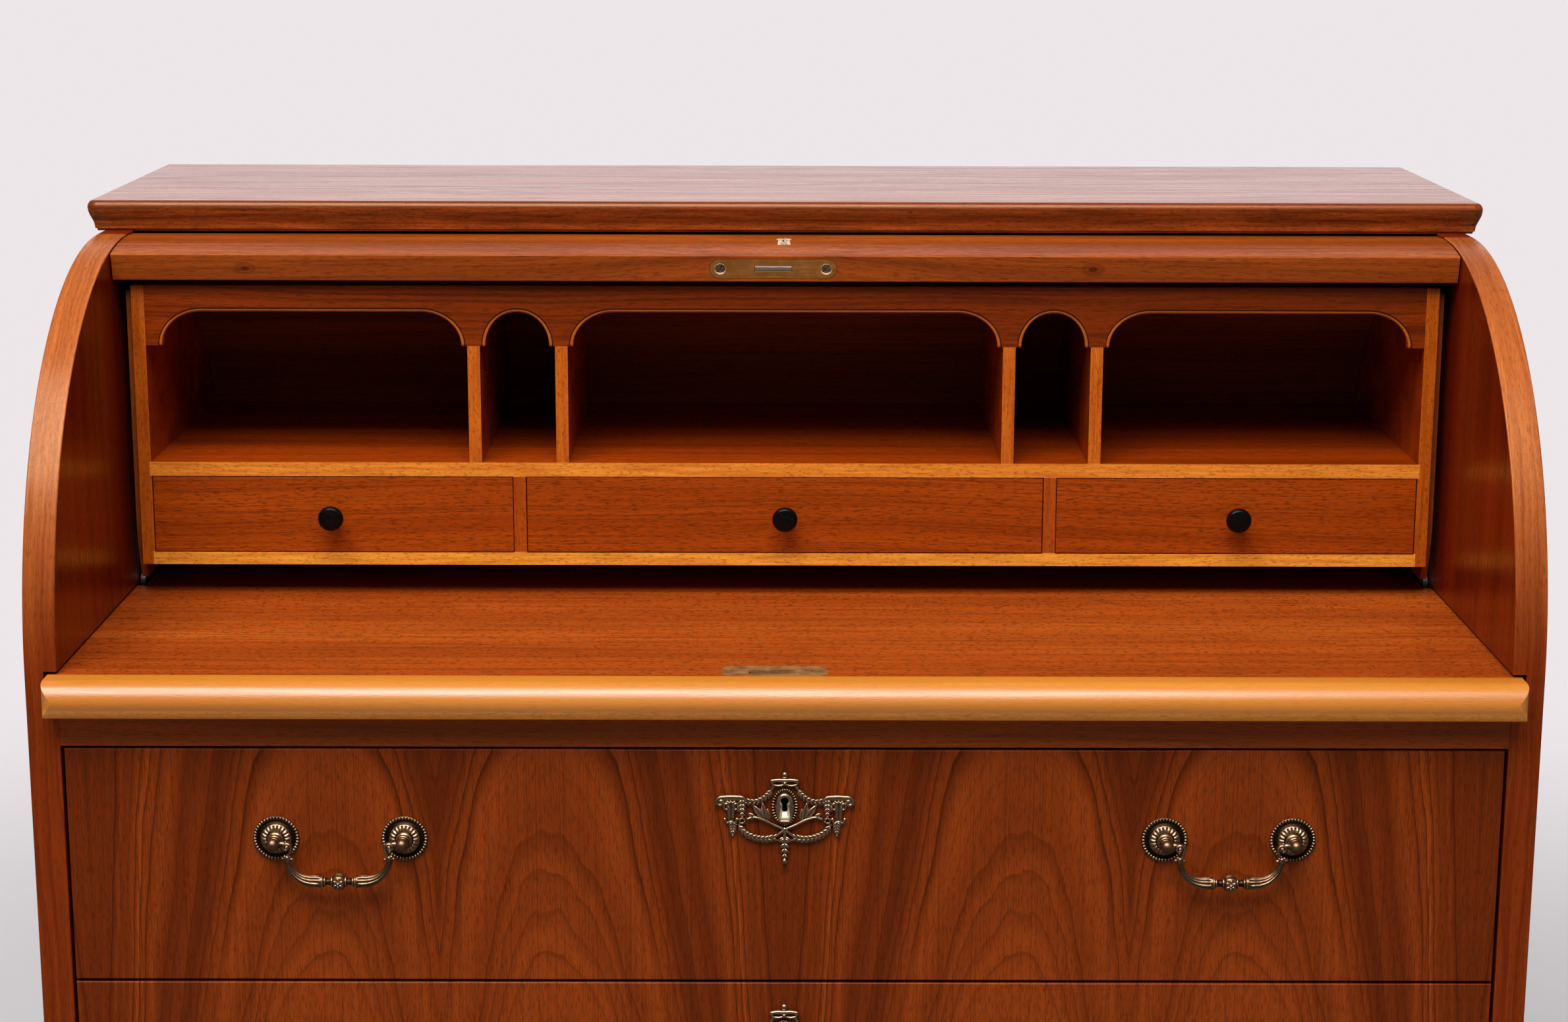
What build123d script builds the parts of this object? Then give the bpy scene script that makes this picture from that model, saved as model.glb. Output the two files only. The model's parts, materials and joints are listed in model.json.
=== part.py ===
from build123d import *
import os
from math import cos, radians, sin

os.makedirs("parts", exist_ok=True)

# Driving dimensions, in millimetres and degrees.
# X runs across the desk, Y from front to back, Z up from the floor.
carcase_width = 890
side_thickness = 19
side_arris = 0.8
writing_height = 747
brow_radius = 230            # curved front edge of the sides
axis_y = -4                  # sets the origin midway between slide nose and top's back edge
axis_rise = 0.5              # cover's axis above the writing slide
carcase_depth = 485          # front plane to the back of the sides
leg_height = 245
bottom_thickness = 20
back_thickness = 8

top_thickness = 20
top_overhang = 10
top_front_setback = 15       # nose of the top behind the cover's axis
top_depth = 245
top_corner = 6.5             # rounding of the front corners, seen from above
nose_inset = 4
nose_drop = 4.6
sweep_inset = 4.3
sweep_lift = 1.6             # small round at the foot of the sweep

slide_thickness = 23
slide_depth = 445
slide_tongue = 5.5           # how far the slide's edge strips run into each side's groove
slide_gap = 0.5
slide_head_gap = 1.8         # groove's roof above the slide
slide_end_gap = 2.4          # groove's floor beyond the edge strips
slide_stop_gap = 3           # groove's end behind the edge strips
slide_shoulder = 13          # edge strips stop this far in front of the cover's axis
slide_arm_gap = 1.5          # between the slide's board and the cover's arms
lipping_depth = 22.5
lipping_overlap = 0.5        # lipping's back edge behind the sides' front plane
lipping_corner = 7
strike_length = 62
strike_width = 22.4
strike_corner = 6.5
strike_thickness = 2.5
strike_centre = (-6, -218.3)   # x, and y from the cover's axis
strike_slot_play = 2
strike_slot_depth = 14
strike_screw_inset = 7
strike_screw_radius = 2.6

rail_depth = 30
rail_gap = 0.8               # front rail below the writing slide
bolt_mortise_depth = 9
drawer_count = 3
drawer_height = 144
drawer_gap = 1.7
drawer_side_gap = 2
drawer_depth = 420
drawer_front_thickness = 20
drawer_arris = 0.8
drawer_side_thickness = 14
drawer_back_thickness = 12
drawer_bottom_thickness = 5
drawer_side_drop = 20
drawer_floor_rise = 8
runner_height = 14
runner_width = 11
runner_clearance = 0.4

cover_radius = 229.2
cover_thickness = 10
cover_rail_thickness = 17.7
cover_rail_angle = 13.6
cover_rail_arris = 0.9
cover_open_angle = 12.65     # rail face forward of straight up, cover open
cover_back_angle = -83
cover_end_gap = 1
arm_thickness = 3
arm_width = 13
arm_angles = (-20, -68)
arm_flange_angle = 14
arm_flange_width = 24
arm_hub_radius = 8
pin_radius = 3
pin_running_gap = 0.05
pin_shank_radius = 4
pin_shank_length = 14

lock_centre_x = -7.75
lock_plate_length = 80
lock_plate_width = 12.6
lock_plate_thickness = 2
lock_case_size = (58, 9, 26)
lock_bolt_size = (23.2, 4, 16)
lock_screw_spacing = 67
lock_screw_radius = 3.2
lock_screw_length = 9
key_plate_length = 21
key_plate_widths = (10.3, 8.4)
key_plate_thickness = 1.5
key_plate_angle = 4.1
key_plate_x = -1

unit_half_width = 416
unit_board = 8
unit_setback = 38.3          # front of the pigeonhole unit ahead of the cover's axis
unit_gap = 20.7              # clear height under the unit
unit_height = 182
unit_curve_gap = 5.8         # unit's back clear of the cover's rail
unit_back_thickness = 4
shelf_thickness = 9
shelf_rise = 58.5            # underside of the shelf above the unit's underside
pigeonhole_walls = (-199, -143, 143, 199)
small_drawer_walls = (-171, 171)
apron_thickness = 6
apron_height = 30.5
arch_rise = 22
arch_run = 26
arch_foot = 10.5
arch_wall_foot = 3.5
cheek_thickness = 4.2
cheek_setback = 5
cheek_foot = 9               # bottom of the cheeks above the writing slide
bearer_width = 27
bearer_inset = 4
bearer_setback = 70          # battens begin this far behind the cover's axis
support_start = 120          # support rail begins this far behind the cover's axis

small_front_thickness = 10
small_arris = 0.5
small_drawer_depth = 140
small_side_thickness = 6
small_bottom_thickness = 3
small_side_height = 42
small_gap = 0.5
knob_radius = 7.8
knob_reach = 17

handle_spacing = 76
handle_centre_x = 263
handle_drop = 55             # rosette centres below the drawer's top
rosette_radius = 14
ball_radius = 3.7
pivot_reach = 11
bail_drop = 22
bail_pin_radius = 1.5
bail_pin_gap = 0.05

escutcheon_drop = 34         # middle of the keyhole's oval below the drawer's top
escutcheon_thickness = 2.4
keyhole_radius = 2.8
keyhole_rise = 3.5           # round head of the keyhole above the oval's middle
keyhole_slot = (2.8, 11)

leg_block = 42
leg_foot = 26
leg_block_height = 60
leg_inset = 12
glide_radius = 9
glide_thickness = 3
base_rail_thickness = 18
base_rail_height = 52
base_rail_setback = 5

# Derived sizes
half_width = carcase_width / 2
inner_half = half_width - side_thickness
front = axis_y - brow_radius
carcase_back = front + carcase_depth
back_inner = carcase_back - back_thickness
axis_z = writing_height + axis_rise
sides_top = axis_z + brow_radius
top_z = sides_top + top_thickness
top_front = axis_y + top_front_setback
top_back = top_front + top_depth
slide_bottom = writing_height - slide_thickness
slide_half = inner_half + slide_tongue
lipping_back = front + lipping_overlap
floor_z = leg_height + bottom_thickness
rail_bottom = floor_z + drawer_count * drawer_height + (drawer_count + 1) * drawer_gap
rail_top = slide_bottom - rail_gap
drawer_half = inner_half - drawer_side_gap
cover_half = inner_half - cover_end_gap
cover_inner = cover_radius - cover_thickness
rail_inner = cover_radius - cover_rail_thickness
unit_front = axis_y - unit_setback
unit_bottom = writing_height + unit_gap
unit_top = unit_bottom + unit_height
unit_inner_half = unit_half_width - unit_board
unit_curve = rail_inner - unit_curve_gap
unit_inner_curve = unit_curve - unit_back_thickness
shelf_bottom = unit_bottom + shelf_rise
shelf_top = shelf_bottom + shelf_thickness
apron_bottom = unit_top - unit_board - apron_height
cheek_half = unit_half_width + cheek_thickness
arm_outer = cover_half
arm_inner = arm_outer - arm_thickness
nodes = {}


# Shared shapes
def board(x, y, z):
    size = (x[1] - x[0], y[1] - y[0], z[1] - z[0])
    return Pos((x[0] + x[1]) / 2, (y[0] + y[1]) / 2, (z[0] + z[1]) / 2) * Box(*size)


def extrude_x(profile, x):
    # The profile is drawn as (y, z).
    return Pos(x[0], 0, 0) * extrude(Plane.YZ * profile, x[1] - x[0])


def extrude_y(profile, y):
    # The profile is drawn as (x, z).
    return Pos(0, y[1], 0) * extrude(Plane.XZ * profile, y[1] - y[0])


def rod_x(radius, x, y, z):
    return Pos((x[0] + x[1]) / 2, y, z) * Rot(0, 90, 0) * Cylinder(radius, x[1] - x[0])


def ring_sector(inner, outer, start, end):
    # About the cover's axis, with angles counted forwards from straight up.
    near = CenterArc((axis_y, axis_z), inner, 90 + start, end - start)
    far = CenterArc((axis_y, axis_z), outer, 90 + start, end - start)
    return make_face(near + far + Line(near @ 0, far @ 0) + Line(near @ 1, far @ 1))


def radial_plane(angle, radius):
    # Local z points away from the cover's axis, local x across the desk.
    turn = radians(angle)
    origin = (0, axis_y - radius * sin(turn), axis_z + radius * cos(turn))
    return Plane(origin, (1, 0, 0), (0, -sin(turn), cos(turn)))


def both_sides(shape):
    return [shape, mirror(shape, about=Plane.YZ)]


def eased_front(panel, arris):
    # A panel with the edges of its front face rounded.
    return fillet(panel.faces().sort_by(Axis.Y)[0].edges(), arris)


def group(*shapes):
    solids = [solid for shape in shapes for solid in shape.solids()]
    return Compound(solids)


# Carcase
def left_side():
    outline = Polyline(
        (axis_y, sides_top), (carcase_back, sides_top), (carcase_back, leg_height),
        (front, leg_height), (front, axis_z))
    brow = CenterArc((axis_y, axis_z), brow_radius, 90, 90)
    panel = extrude_x(make_face(outline + brow), (-half_width, -inner_half))
    # The front arrises, straight and curved, are eased a little.
    front_edges = [
        edge for edge in panel.edges()
        if edge.center().Y < axis_y - 1 and abs(edge.tangent_at(0.5).X) < 0.5]
    panel = fillet(front_edges, side_arris)
    groove_back = axis_y - slide_shoulder + slide_stop_gap
    groove = board(
        (-slide_half - slide_end_gap, -inner_half), (front, groove_back),
        (slide_bottom - slide_gap, writing_height + slide_head_gap))
    pin_hole = rod_x(pin_shank_radius, (-inner_half - pin_shank_length, -inner_half), axis_y, axis_z)
    return panel - groove - pin_hole


def top_moulding(inward):
    # Section from the core outwards: rounded nose, a sweep from convex to hollow, and a small round at the foot.
    # Drawn as (distance inside the widest line, height).
    foot = sides_top + sweep_lift
    nose = EllipticalCenterArc((nose_inset, top_z - nose_drop), nose_inset, nose_drop, 90, arc_size=90)
    sweep = Spline((0, top_z - nose_drop), (sweep_inset, foot), tangents=[(0, -1), (0, -1)])
    toe = RadiusArc((sweep_inset, foot), (sweep_inset + sweep_lift, sides_top), sweep_lift)
    core = Polyline((sweep_inset + sweep_lift, sides_top), (inward, sides_top), (inward, top_z), (nose_inset, top_z))
    return make_face(nose + sweep + toe + core)


def top_board():
    # The moulding runs round the front and both ends of a flat core.
    widest = half_width + top_overhang
    inward = top_corner - 0.2
    edge_line = FilletPolyline(
        (-widest, top_back), (-widest, top_front), (widest, top_front), (widest, top_back), radius=top_corner)
    section = Plane((-widest, top_back, 0), (1, 0, 0), (0, -1, 0)) * top_moulding(inward)
    moulding = sweep(section, path=edge_line)
    core = board((-widest + inward, widest - inward), (top_front + inward, top_back), (sides_top, top_z))
    return moulding + core


def front_rail():
    rail = board((-inner_half, inner_half), (front, front + rail_depth), (rail_bottom, rail_top))
    width, depth, height = drawer_bolt_size()
    bolt_y = drawer_bolt_y()
    mortise = board(
        (-width / 2 - 1, width / 2 + 1), (bolt_y - depth / 2 - 1, bolt_y + depth / 2 + 1),
        (rail_bottom, rail_bottom + bolt_mortise_depth))
    return rail - mortise


def legs():
    corner_x = half_width - leg_inset
    front_y = front + leg_inset
    back_y = carcase_back - leg_inset
    taper_top = leg_height - leg_block_height
    block = board(
        (corner_x - leg_block, corner_x), (front_y, front_y + leg_block), (taper_top, leg_height))
    # The two outer faces stay upright and the inner ones taper.
    upper = Pos(corner_x - leg_block / 2, front_y + leg_block / 2, taper_top) * Rectangle(leg_block, leg_block)
    lower = Pos(corner_x - leg_foot / 2, front_y + leg_foot / 2, glide_thickness) * Rectangle(leg_foot, leg_foot)
    front_leg = block + loft([lower, upper])
    back_leg = mirror(front_leg, about=Plane.XZ.offset(-(front_y + back_y) / 2))
    return group(*both_sides(front_leg), *both_sides(back_leg))


def leg_glides():
    foot_x = half_width - leg_inset - leg_foot / 2
    front_y = front + leg_inset + leg_foot / 2
    back_y = carcase_back - leg_inset - leg_foot / 2
    glides = [
        Pos(x, y, glide_thickness / 2) * Cylinder(glide_radius, glide_thickness)
        for x in (-foot_x, foot_x) for y in (front_y, back_y)]
    return group(*glides)


def base_rails():
    corner_x = half_width - leg_inset
    front_y = front + leg_inset
    back_y = carcase_back - leg_inset
    rail_z = (leg_height - base_rail_height, leg_height)
    across = (-corner_x + leg_block, corner_x - leg_block)
    along = (front_y + leg_block, back_y - leg_block)
    near_y = (front_y + base_rail_setback, front_y + base_rail_setback + base_rail_thickness)
    far_y = (back_y - base_rail_setback - base_rail_thickness, back_y - base_rail_setback)
    end_x = (corner_x - base_rail_setback - base_rail_thickness, corner_x - base_rail_setback)
    ends = both_sides(board(end_x, along, rail_z))
    return group(board(across, near_y, rail_z), board(across, far_y, rail_z), *ends)


def slide_runners():
    runner = board((inner_half - 20, inner_half), (front + rail_depth, back_inner), (rail_bottom + 1, rail_top))
    return group(*both_sides(runner))


def drawer_bottom_edge(number):
    # Drawers are numbered from the top.
    return rail_bottom - number * (drawer_height + drawer_gap)


def runner_middle(number):
    low = drawer_bottom_edge(number) + drawer_floor_rise
    high = drawer_bottom_edge(number) + drawer_height - drawer_side_drop
    return (low + high) / 2


def drawer_runners():
    strips = []
    for number in range(1, drawer_count + 1):
        middle = runner_middle(number)
        strip = board(
            (inner_half - runner_width, inner_half), (front + drawer_front_thickness + 5, back_inner - 15),
            (middle - runner_height / 2, middle + runner_height / 2))
        strips += both_sides(strip)
    return group(*strips)


def pivot_pins():
    shank = rod_x(pin_shank_radius, (-inner_half - pin_shank_length, -inner_half), axis_y, axis_z)
    journal = rod_x(pin_radius, (-inner_half, -arm_inner + 0.2), axis_y, axis_z)
    return group(*both_sides(shank + journal))


# Pigeonhole unit
def unit_curve_body(radius):
    return rod_x(radius, (-cheek_half, cheek_half), axis_y, axis_z)


def unit_sides():
    panel = board((unit_inner_half, unit_half_width), (unit_front, axis_y + unit_curve), (unit_bottom, unit_top))
    return group(*both_sides(panel & unit_curve_body(unit_curve)))


def unit_cheeks():
    # Thin plywood linings on the unit's outer faces, rounded back at the foot.
    near = unit_front + cheek_setback
    foot = writing_height + cheek_foot
    bend = foot + 46
    step = axis_y + support_start - 1
    far = axis_y + unit_curve
    top = unit_top - 4
    toe = ThreePointArc((near, bend), (near + 2.2, bend - 23), (near + 9, foot))
    rest = Polyline((near + 9, foot), (step, foot), (step, unit_bottom), (far, unit_bottom), (far, top), (near, top),
                    (near, bend))
    panel = extrude_x(make_face(toe + rest), (unit_half_width, cheek_half))
    return group(*both_sides(panel & unit_curve_body(unit_curve)))


def unit_shelves():
    across = (-unit_inner_half, unit_inner_half)
    deep = (unit_front, axis_y + unit_curve)
    inside = unit_curve_body(unit_inner_curve)
    bottom = board(across, deep, (unit_bottom, unit_bottom + unit_board)) & inside
    shelf = board(across, deep, (shelf_bottom, shelf_top)) & inside
    behind_apron = (unit_front + apron_thickness, deep[1])
    top = board(across, behind_apron, (unit_top - unit_board, unit_top)) & unit_curve_body(unit_curve)
    return group(bottom, shelf, top)


def unit_dividers():
    inside = unit_curve_body(unit_inner_curve)
    deep = (unit_front, axis_y + unit_curve)
    walls = []
    for x in pigeonhole_walls:
        wall = board((x - unit_board / 2, x + unit_board / 2), deep, (shelf_top, unit_top - unit_board))
        seat = board(
            (x - unit_board / 2, x + unit_board / 2), (unit_front, unit_front + apron_thickness),
            (apron_bottom, unit_top - unit_board))
        walls.append((wall & inside) - seat)
    for x in small_drawer_walls:
        wall = board((x - unit_board / 2, x + unit_board / 2), deep, (unit_bottom + unit_board, shelf_bottom))
        walls.append(wall & inside)
    return group(*walls)


def arch(left, right):
    # Basket arch: quarter ellipses at both ends of a flat crown.
    run = min(arch_run, (right - left) / 2 - 0.5)
    rise = EllipticalCenterArc((left + run, apron_bottom), run, arch_rise, 90, arc_size=90)
    fall = EllipticalCenterArc((right - run, apron_bottom), run, arch_rise, 0, arc_size=90)
    crown_z = apron_bottom + arch_rise
    crown = Line((left + run, crown_z), (right - run, crown_z))
    return make_face(rise + crown + fall + Line((left, apron_bottom), (right, apron_bottom)))


def bays():
    edges = [-unit_inner_half]
    for x in pigeonhole_walls:
        edges += [x - unit_board / 2, x + unit_board / 2]
    edges.append(unit_inner_half)
    return list(zip(edges[0::2], edges[1::2]))


def unit_apron():
    # It covers the front of the unit's top board.
    apron_z = (apron_bottom, unit_top)
    panel = board((-unit_inner_half, unit_inner_half), (unit_front, unit_front + apron_thickness), apron_z)
    for left, right in bays():
        near = left + (arch_foot if left == -unit_inner_half else arch_wall_foot)
        far = right - (arch_foot if right == unit_inner_half else arch_wall_foot)
        panel -= extrude_y(arch(near, far), (unit_front, unit_front + apron_thickness))
    return panel


def unit_back():
    sheet = extrude_x(ring_sector(unit_inner_curve, unit_curve, -95, -5), (-unit_inner_half, unit_inner_half))
    limits = board(
        (-unit_inner_half, unit_inner_half), (axis_y, axis_y + unit_curve + 1),
        (unit_bottom, unit_top - unit_board))
    return sheet & limits


def unit_bearers():
    # A rail across the back carries the unit; two short battens run forward from it over the slide.
    under = (writing_height + 1, unit_bottom)
    start = axis_y + support_start
    rail = board((-inner_half, inner_half), (start, back_inner), under)
    outer = unit_half_width - bearer_inset
    batten = board((outer - bearer_width, outer), (axis_y + bearer_setback, start), under)
    return group(rail, *both_sides(batten))


# Cover
def key_plate_blank():
    wide, narrow = key_plate_widths
    half = key_plate_length / 2
    waist = narrow / 2 - 0.6
    outline = Polyline((-narrow / 2, -half), (narrow / 2, -half), (waist, half * 0.3), (wide / 2, half * 0.7))
    head = ThreePointArc((wide / 2, half * 0.7), (0, half), (-wide / 2, half * 0.7))
    closing = Polyline((-wide / 2, half * 0.7), (-waist, half * 0.3), (-narrow / 2, -half))
    shield = Pos(key_plate_x, 0) * make_face(outline + head + closing)
    return extrude(radial_plane(key_plate_angle, cover_radius - 6) * shield, 12)


def key_plate():
    shell = extrude_x(
        ring_sector(cover_radius - key_plate_thickness, cover_radius, key_plate_angle - 5, key_plate_angle + 5),
        (-20, 20))
    keyhole = Pos(key_plate_x, 1.5) * Circle(1.5) + Pos(key_plate_x, -1.5) * Rectangle(1.4, 6)
    cut = extrude(radial_plane(key_plate_angle, cover_radius - 6) * keyhole, 12)
    return (key_plate_blank() & shell) - cut


def lock_plane():
    # On the rail's face: local y away from the axis, local z out of the face.
    turn = radians(cover_open_angle)
    middle = cover_radius - cover_rail_thickness / 2
    origin = (lock_centre_x, axis_y - middle * sin(turn), axis_z + middle * cos(turn))
    return Plane(origin, (1, 0, 0), (0, -cos(turn), -sin(turn)))


def lock_block(size, top):
    width, height, depth = size
    return extrude(lock_plane().offset(top) * Rectangle(width, height), -depth)


def lock_plate_blank():
    return extrude(lock_plane() * SlotOverall(lock_plate_length, lock_plate_width), -lock_plate_thickness)


def lock_screw_posts(radius, top, length):
    marks = [Pos(side * lock_screw_spacing / 2, 0) * Circle(radius) for side in (-1, 1)]
    return [extrude(lock_plane().offset(top) * mark, -length) for mark in marks]


def lock_screws():
    return group(*lock_screw_posts(lock_screw_radius, 0, lock_screw_length))


def lock_plate():
    plate = lock_plate_blank() - lock_block((lock_bolt_size[0] + 0.4, lock_bolt_size[1] + 0.4, 20), 1)
    for post in lock_screw_posts(lock_screw_radius, 1, lock_screw_length):
        plate -= post
    return plate


def lock_case():
    width, height, depth = lock_bolt_size
    room = lock_block((width + 0.4, height + 0.4, depth + 0.5), 0)
    return lock_block(lock_case_size, -lock_plate_thickness) - room


def lock_bolt():
    return lock_block(lock_bolt_size, -0.3)


def cover_rail():
    start = cover_open_angle - cover_rail_angle
    section = ring_sector(rail_inner, cover_radius, start, cover_open_angle)
    front_corners = section.vertices().sort_by(Axis.X)[:2]
    rail = extrude_x(fillet(front_corners, cover_rail_arris), (-cover_half, cover_half))
    pocket = extrude_x(
        ring_sector(cover_radius - key_plate_thickness, cover_radius + 5, key_plate_angle - 5, key_plate_angle + 5),
        (-20, 20)) & key_plate_blank()
    rail = rail - pocket - lock_plate_blank() - lock_block(lock_case_size, -lock_plate_thickness)
    for post in lock_screw_posts(lock_screw_radius, 0, lock_screw_length):
        rail -= post
    return rail


def cover_panel():
    start = cover_open_angle - cover_rail_angle
    sheet = ring_sector(cover_inner, cover_radius, cover_back_angle, start)
    return extrude_x(sheet, (-cover_half, cover_half))


def cover_arms():
    # Flat steel arms: a hub on the pivot and two spokes with flanges under the cover.
    across = (arm_inner, arm_outer)
    flange_radius = cover_inner - arm_thickness
    arm = rod_x(arm_hub_radius, across, axis_y, axis_z)
    for angle in arm_angles:
        spoke = Plane.YZ * Pos(axis_y, axis_z) * Rot(0, 0, angle) * Pos(0, flange_radius / 2)
        bar = extrude(spoke * Rectangle(arm_width, flange_radius), arm_thickness)
        reach = rod_x(flange_radius + 1, across, axis_y, axis_z)
        arm += (Pos(arm_inner, 0, 0) * bar) & reach
        half_flange = arm_flange_angle / 2
        flange = ring_sector(flange_radius, cover_inner, angle - half_flange, angle + half_flange)
        arm += extrude_x(flange, (arm_outer - arm_flange_width, arm_outer))
    arm -= rod_x(pin_radius + pin_running_gap, across, axis_y, axis_z)
    return group(*both_sides(arm))


# Writing slide
def strike_blank():
    x, y = strike_centre
    sketch = RectangleRounded(strike_length, strike_width, strike_corner)
    return extrude(Pos(x, axis_y + y, writing_height - strike_thickness) * sketch, strike_thickness)


def strike_slot(depth):
    width, height, _ = lock_bolt_size
    middle = axis_y - (cover_radius - cover_rail_thickness / 2)
    half_width_x = width / 2 + strike_slot_play
    half_width_y = height / 2 + strike_slot_play
    return board(
        (lock_centre_x - half_width_x, lock_centre_x + half_width_x),
        (middle - half_width_y, middle + half_width_y), (writing_height - depth, writing_height))


def strike_screw_posts():
    x, y = strike_centre
    reach = strike_length / 2 - strike_screw_inset
    post = Cylinder(strike_screw_radius, 8)
    return [Pos(x + side * reach, axis_y + y, writing_height - 4) * post for side in (-1, 1)]


def strike_screws():
    return group(*[post & board((-60, 60), (front, axis_y), (0, writing_height)) for post in strike_screw_posts()])


def strike_plate():
    plate = strike_blank() - strike_slot(strike_thickness)
    for post in strike_screw_posts():
        plate -= post
    return plate


def writing_slide():
    # Veneered board and its two edge strips, which run in the grooves and stop in front of the cover's hubs.
    core_half = arm_inner - slide_arm_gap
    depth = (lipping_back, lipping_back + slide_depth)
    height = (slide_bottom, writing_height)
    panel = board((-core_half, core_half), depth, height)
    panel = panel - strike_blank() - strike_slot(strike_slot_depth)
    for post in strike_screw_posts():
        panel -= post
    strip = board((core_half, slide_half), (lipping_back, axis_y - slide_shoulder), height)
    return group(panel, *both_sides(strip))


def slide_lipping():
    # Half-round nose along the slide's front edge.
    round_y = lipping_back - lipping_depth + slide_thickness / 2
    middle = (slide_bottom + writing_height) / 2
    nose = CenterArc((round_y, middle), slide_thickness / 2, 90, 180)
    rest = Polyline((round_y, writing_height), (lipping_back, writing_height), (lipping_back, slide_bottom),
                    (round_y, slide_bottom))
    strip = extrude_x(make_face(nose + rest), (-slide_half, slide_half))
    # Both ends are rounded, seen from above.
    near = lipping_back - lipping_depth
    plan = FilletPolyline((-slide_half, lipping_back), (-slide_half, near), (slide_half, near),
                          (slide_half, lipping_back), radius=lipping_corner)
    closing = Line((slide_half, lipping_back), (-slide_half, lipping_back))
    return strip & (Pos(0, 0, slide_bottom) * extrude(make_face(plan + closing), slide_thickness))


# Small drawers inside the unit
def small_bay(index):
    edges = [-unit_inner_half]
    for x in small_drawer_walls:
        edges += [x - unit_board / 2, x + unit_board / 2]
    edges.append(unit_inner_half)
    return edges[2 * index] + small_gap, edges[2 * index + 1] - small_gap


def small_front_z():
    return unit_bottom + unit_board + small_gap, shelf_bottom - small_gap


def small_front(index):
    y = (unit_front + small_gap, unit_front + small_gap + small_front_thickness)
    return eased_front(board(small_bay(index), y, small_front_z()), small_arris)


def small_box(index):
    left, right = small_bay(index)
    low = small_front_z()[0]
    near = unit_front + small_gap + small_front_thickness
    far = unit_front + small_gap + small_drawer_depth
    floor = low + small_bottom_thickness
    top = floor + small_side_height
    walls = [
        board((left + 1, left + 1 + small_side_thickness), (near, far), (floor, top)),
        board((right - 1 - small_side_thickness, right - 1), (near, far), (floor, top)),
        board((left + 1 + small_side_thickness, right - 1 - small_side_thickness),
              (far - small_side_thickness, far), (floor, top))]
    bottom = board((left + 1, right - 1), (near, far), (low, floor))
    return group(*walls, bottom)


def small_knob(index):
    left, right = small_bay(index)
    low, high = small_front_z()
    lip = 1.2
    outline = Polyline((0, 0), (4.2, 0), (3, 3), (3, knob_reach - 5.5), (knob_radius, knob_reach - 5))
    rim = ThreePointArc((knob_radius, knob_reach - 5), (knob_radius + 0.3, knob_reach - 3),
                        (knob_radius - lip, knob_reach - 0.6))
    face = Polyline((knob_radius - lip, knob_reach - 0.6), (0, knob_reach), (0, 0))
    knob = revolve(make_face(outline + rim + face), Axis.Y)
    return Pos((left + right) / 2, unit_front + small_gap, (low + high) / 2) * Rot(180, 0, 0) * knob


# Large drawers
def drawer_bolt_size():
    return 20, 4, 18


def drawer_bolt_y():
    return front + drawer_front_thickness + 5


def drawer_keyhole(number):
    middle = drawer_bottom_edge(number) + drawer_height - escutcheon_drop
    width, height = keyhole_slot
    slot = Pos(0, -height / 2) * Rectangle(width, height)
    return Pos(0, middle + keyhole_rise) * (Circle(keyhole_radius) + slot)


def drawer_front(number):
    low = drawer_bottom_edge(number)
    panel = board((-drawer_half, drawer_half), (front, front + drawer_front_thickness), (low, low + drawer_height))
    keyhole = extrude_y(drawer_keyhole(number), (front, front + drawer_front_thickness))
    return eased_front(panel, drawer_arris) - keyhole


def drawer_box(number):
    low = drawer_bottom_edge(number) + drawer_floor_rise
    high = drawer_bottom_edge(number) + drawer_height - drawer_side_drop
    near = front + drawer_front_thickness
    far = front + drawer_depth
    outer = drawer_half - 1
    inner = outer - drawer_side_thickness
    floor = low + drawer_bottom_thickness
    middle = runner_middle(number)
    half_groove = runner_height / 2 + runner_clearance
    groove = board(
        (inner_half - runner_width - runner_clearance, outer), (near + 4, far),
        (middle - half_groove, middle + half_groove))
    side = board((inner, outer), (near, far), (floor, high)) - groove
    back = board((-inner, inner), (far - drawer_back_thickness, far), (floor, high))
    bottom = board((-outer, outer), (near, far), (low, floor))
    return group(*both_sides(side), back, bottom)


def drawer_lock_case():
    top = drawer_bottom_edge(1) + drawer_height - 2
    near = front + drawer_front_thickness
    width, depth, height = drawer_bolt_size()
    y = drawer_bolt_y()
    case = board((-30, 30), (near, near + 10), (top - 42, top))
    room = board(
        (-width / 2 - 0.3, width / 2 + 0.3), (y - depth / 2 - 0.3, y + depth / 2 + 0.3), (top - height, top))
    return case - room


def drawer_lock_bolt():
    top = drawer_bottom_edge(1) + drawer_height - 2
    width, depth, height = drawer_bolt_size()
    y = drawer_bolt_y()
    return board((-width / 2, width / 2), (y - depth / 2, y + depth / 2), (top - height + 0.3, top))


def handle_z(number):
    return drawer_bottom_edge(number) + drawer_height - handle_drop


def rosette():
    # Turned plate with a beaded rim, a dished ring, a leaf boss, a post and a ball; axis along Y.
    rim = Polyline((0, 0), (rosette_radius, 0), (rosette_radius, 1.6))
    bead = ThreePointArc((rosette_radius, 1.6), (rosette_radius - 1.1, 2.9), (rosette_radius - 2.2, 1.9))
    dish = ThreePointArc((rosette_radius - 2.2, 1.9), (10.2, 1.5), (8.8, 2.8))
    boss = Polyline((8.8, 2.8), (5.2, 4.6), (4.2, 6.4), (3.4, 8.4))
    ball_y = pivot_reach + 2.2
    shoulder = (3.4, ball_y - (ball_radius ** 2 - 3.4 ** 2) ** 0.5)
    neck = Line((3.4, 8.4), shoulder)
    ball = ThreePointArc(shoulder, (ball_radius, ball_y), (0, ball_y + ball_radius))
    axis = Line((0, ball_y + ball_radius), (0, 0))
    return Rot(180, 0, 0) * revolve(make_face(rim + bead + dish + boss + neck + ball + axis), Axis.Y)


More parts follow.
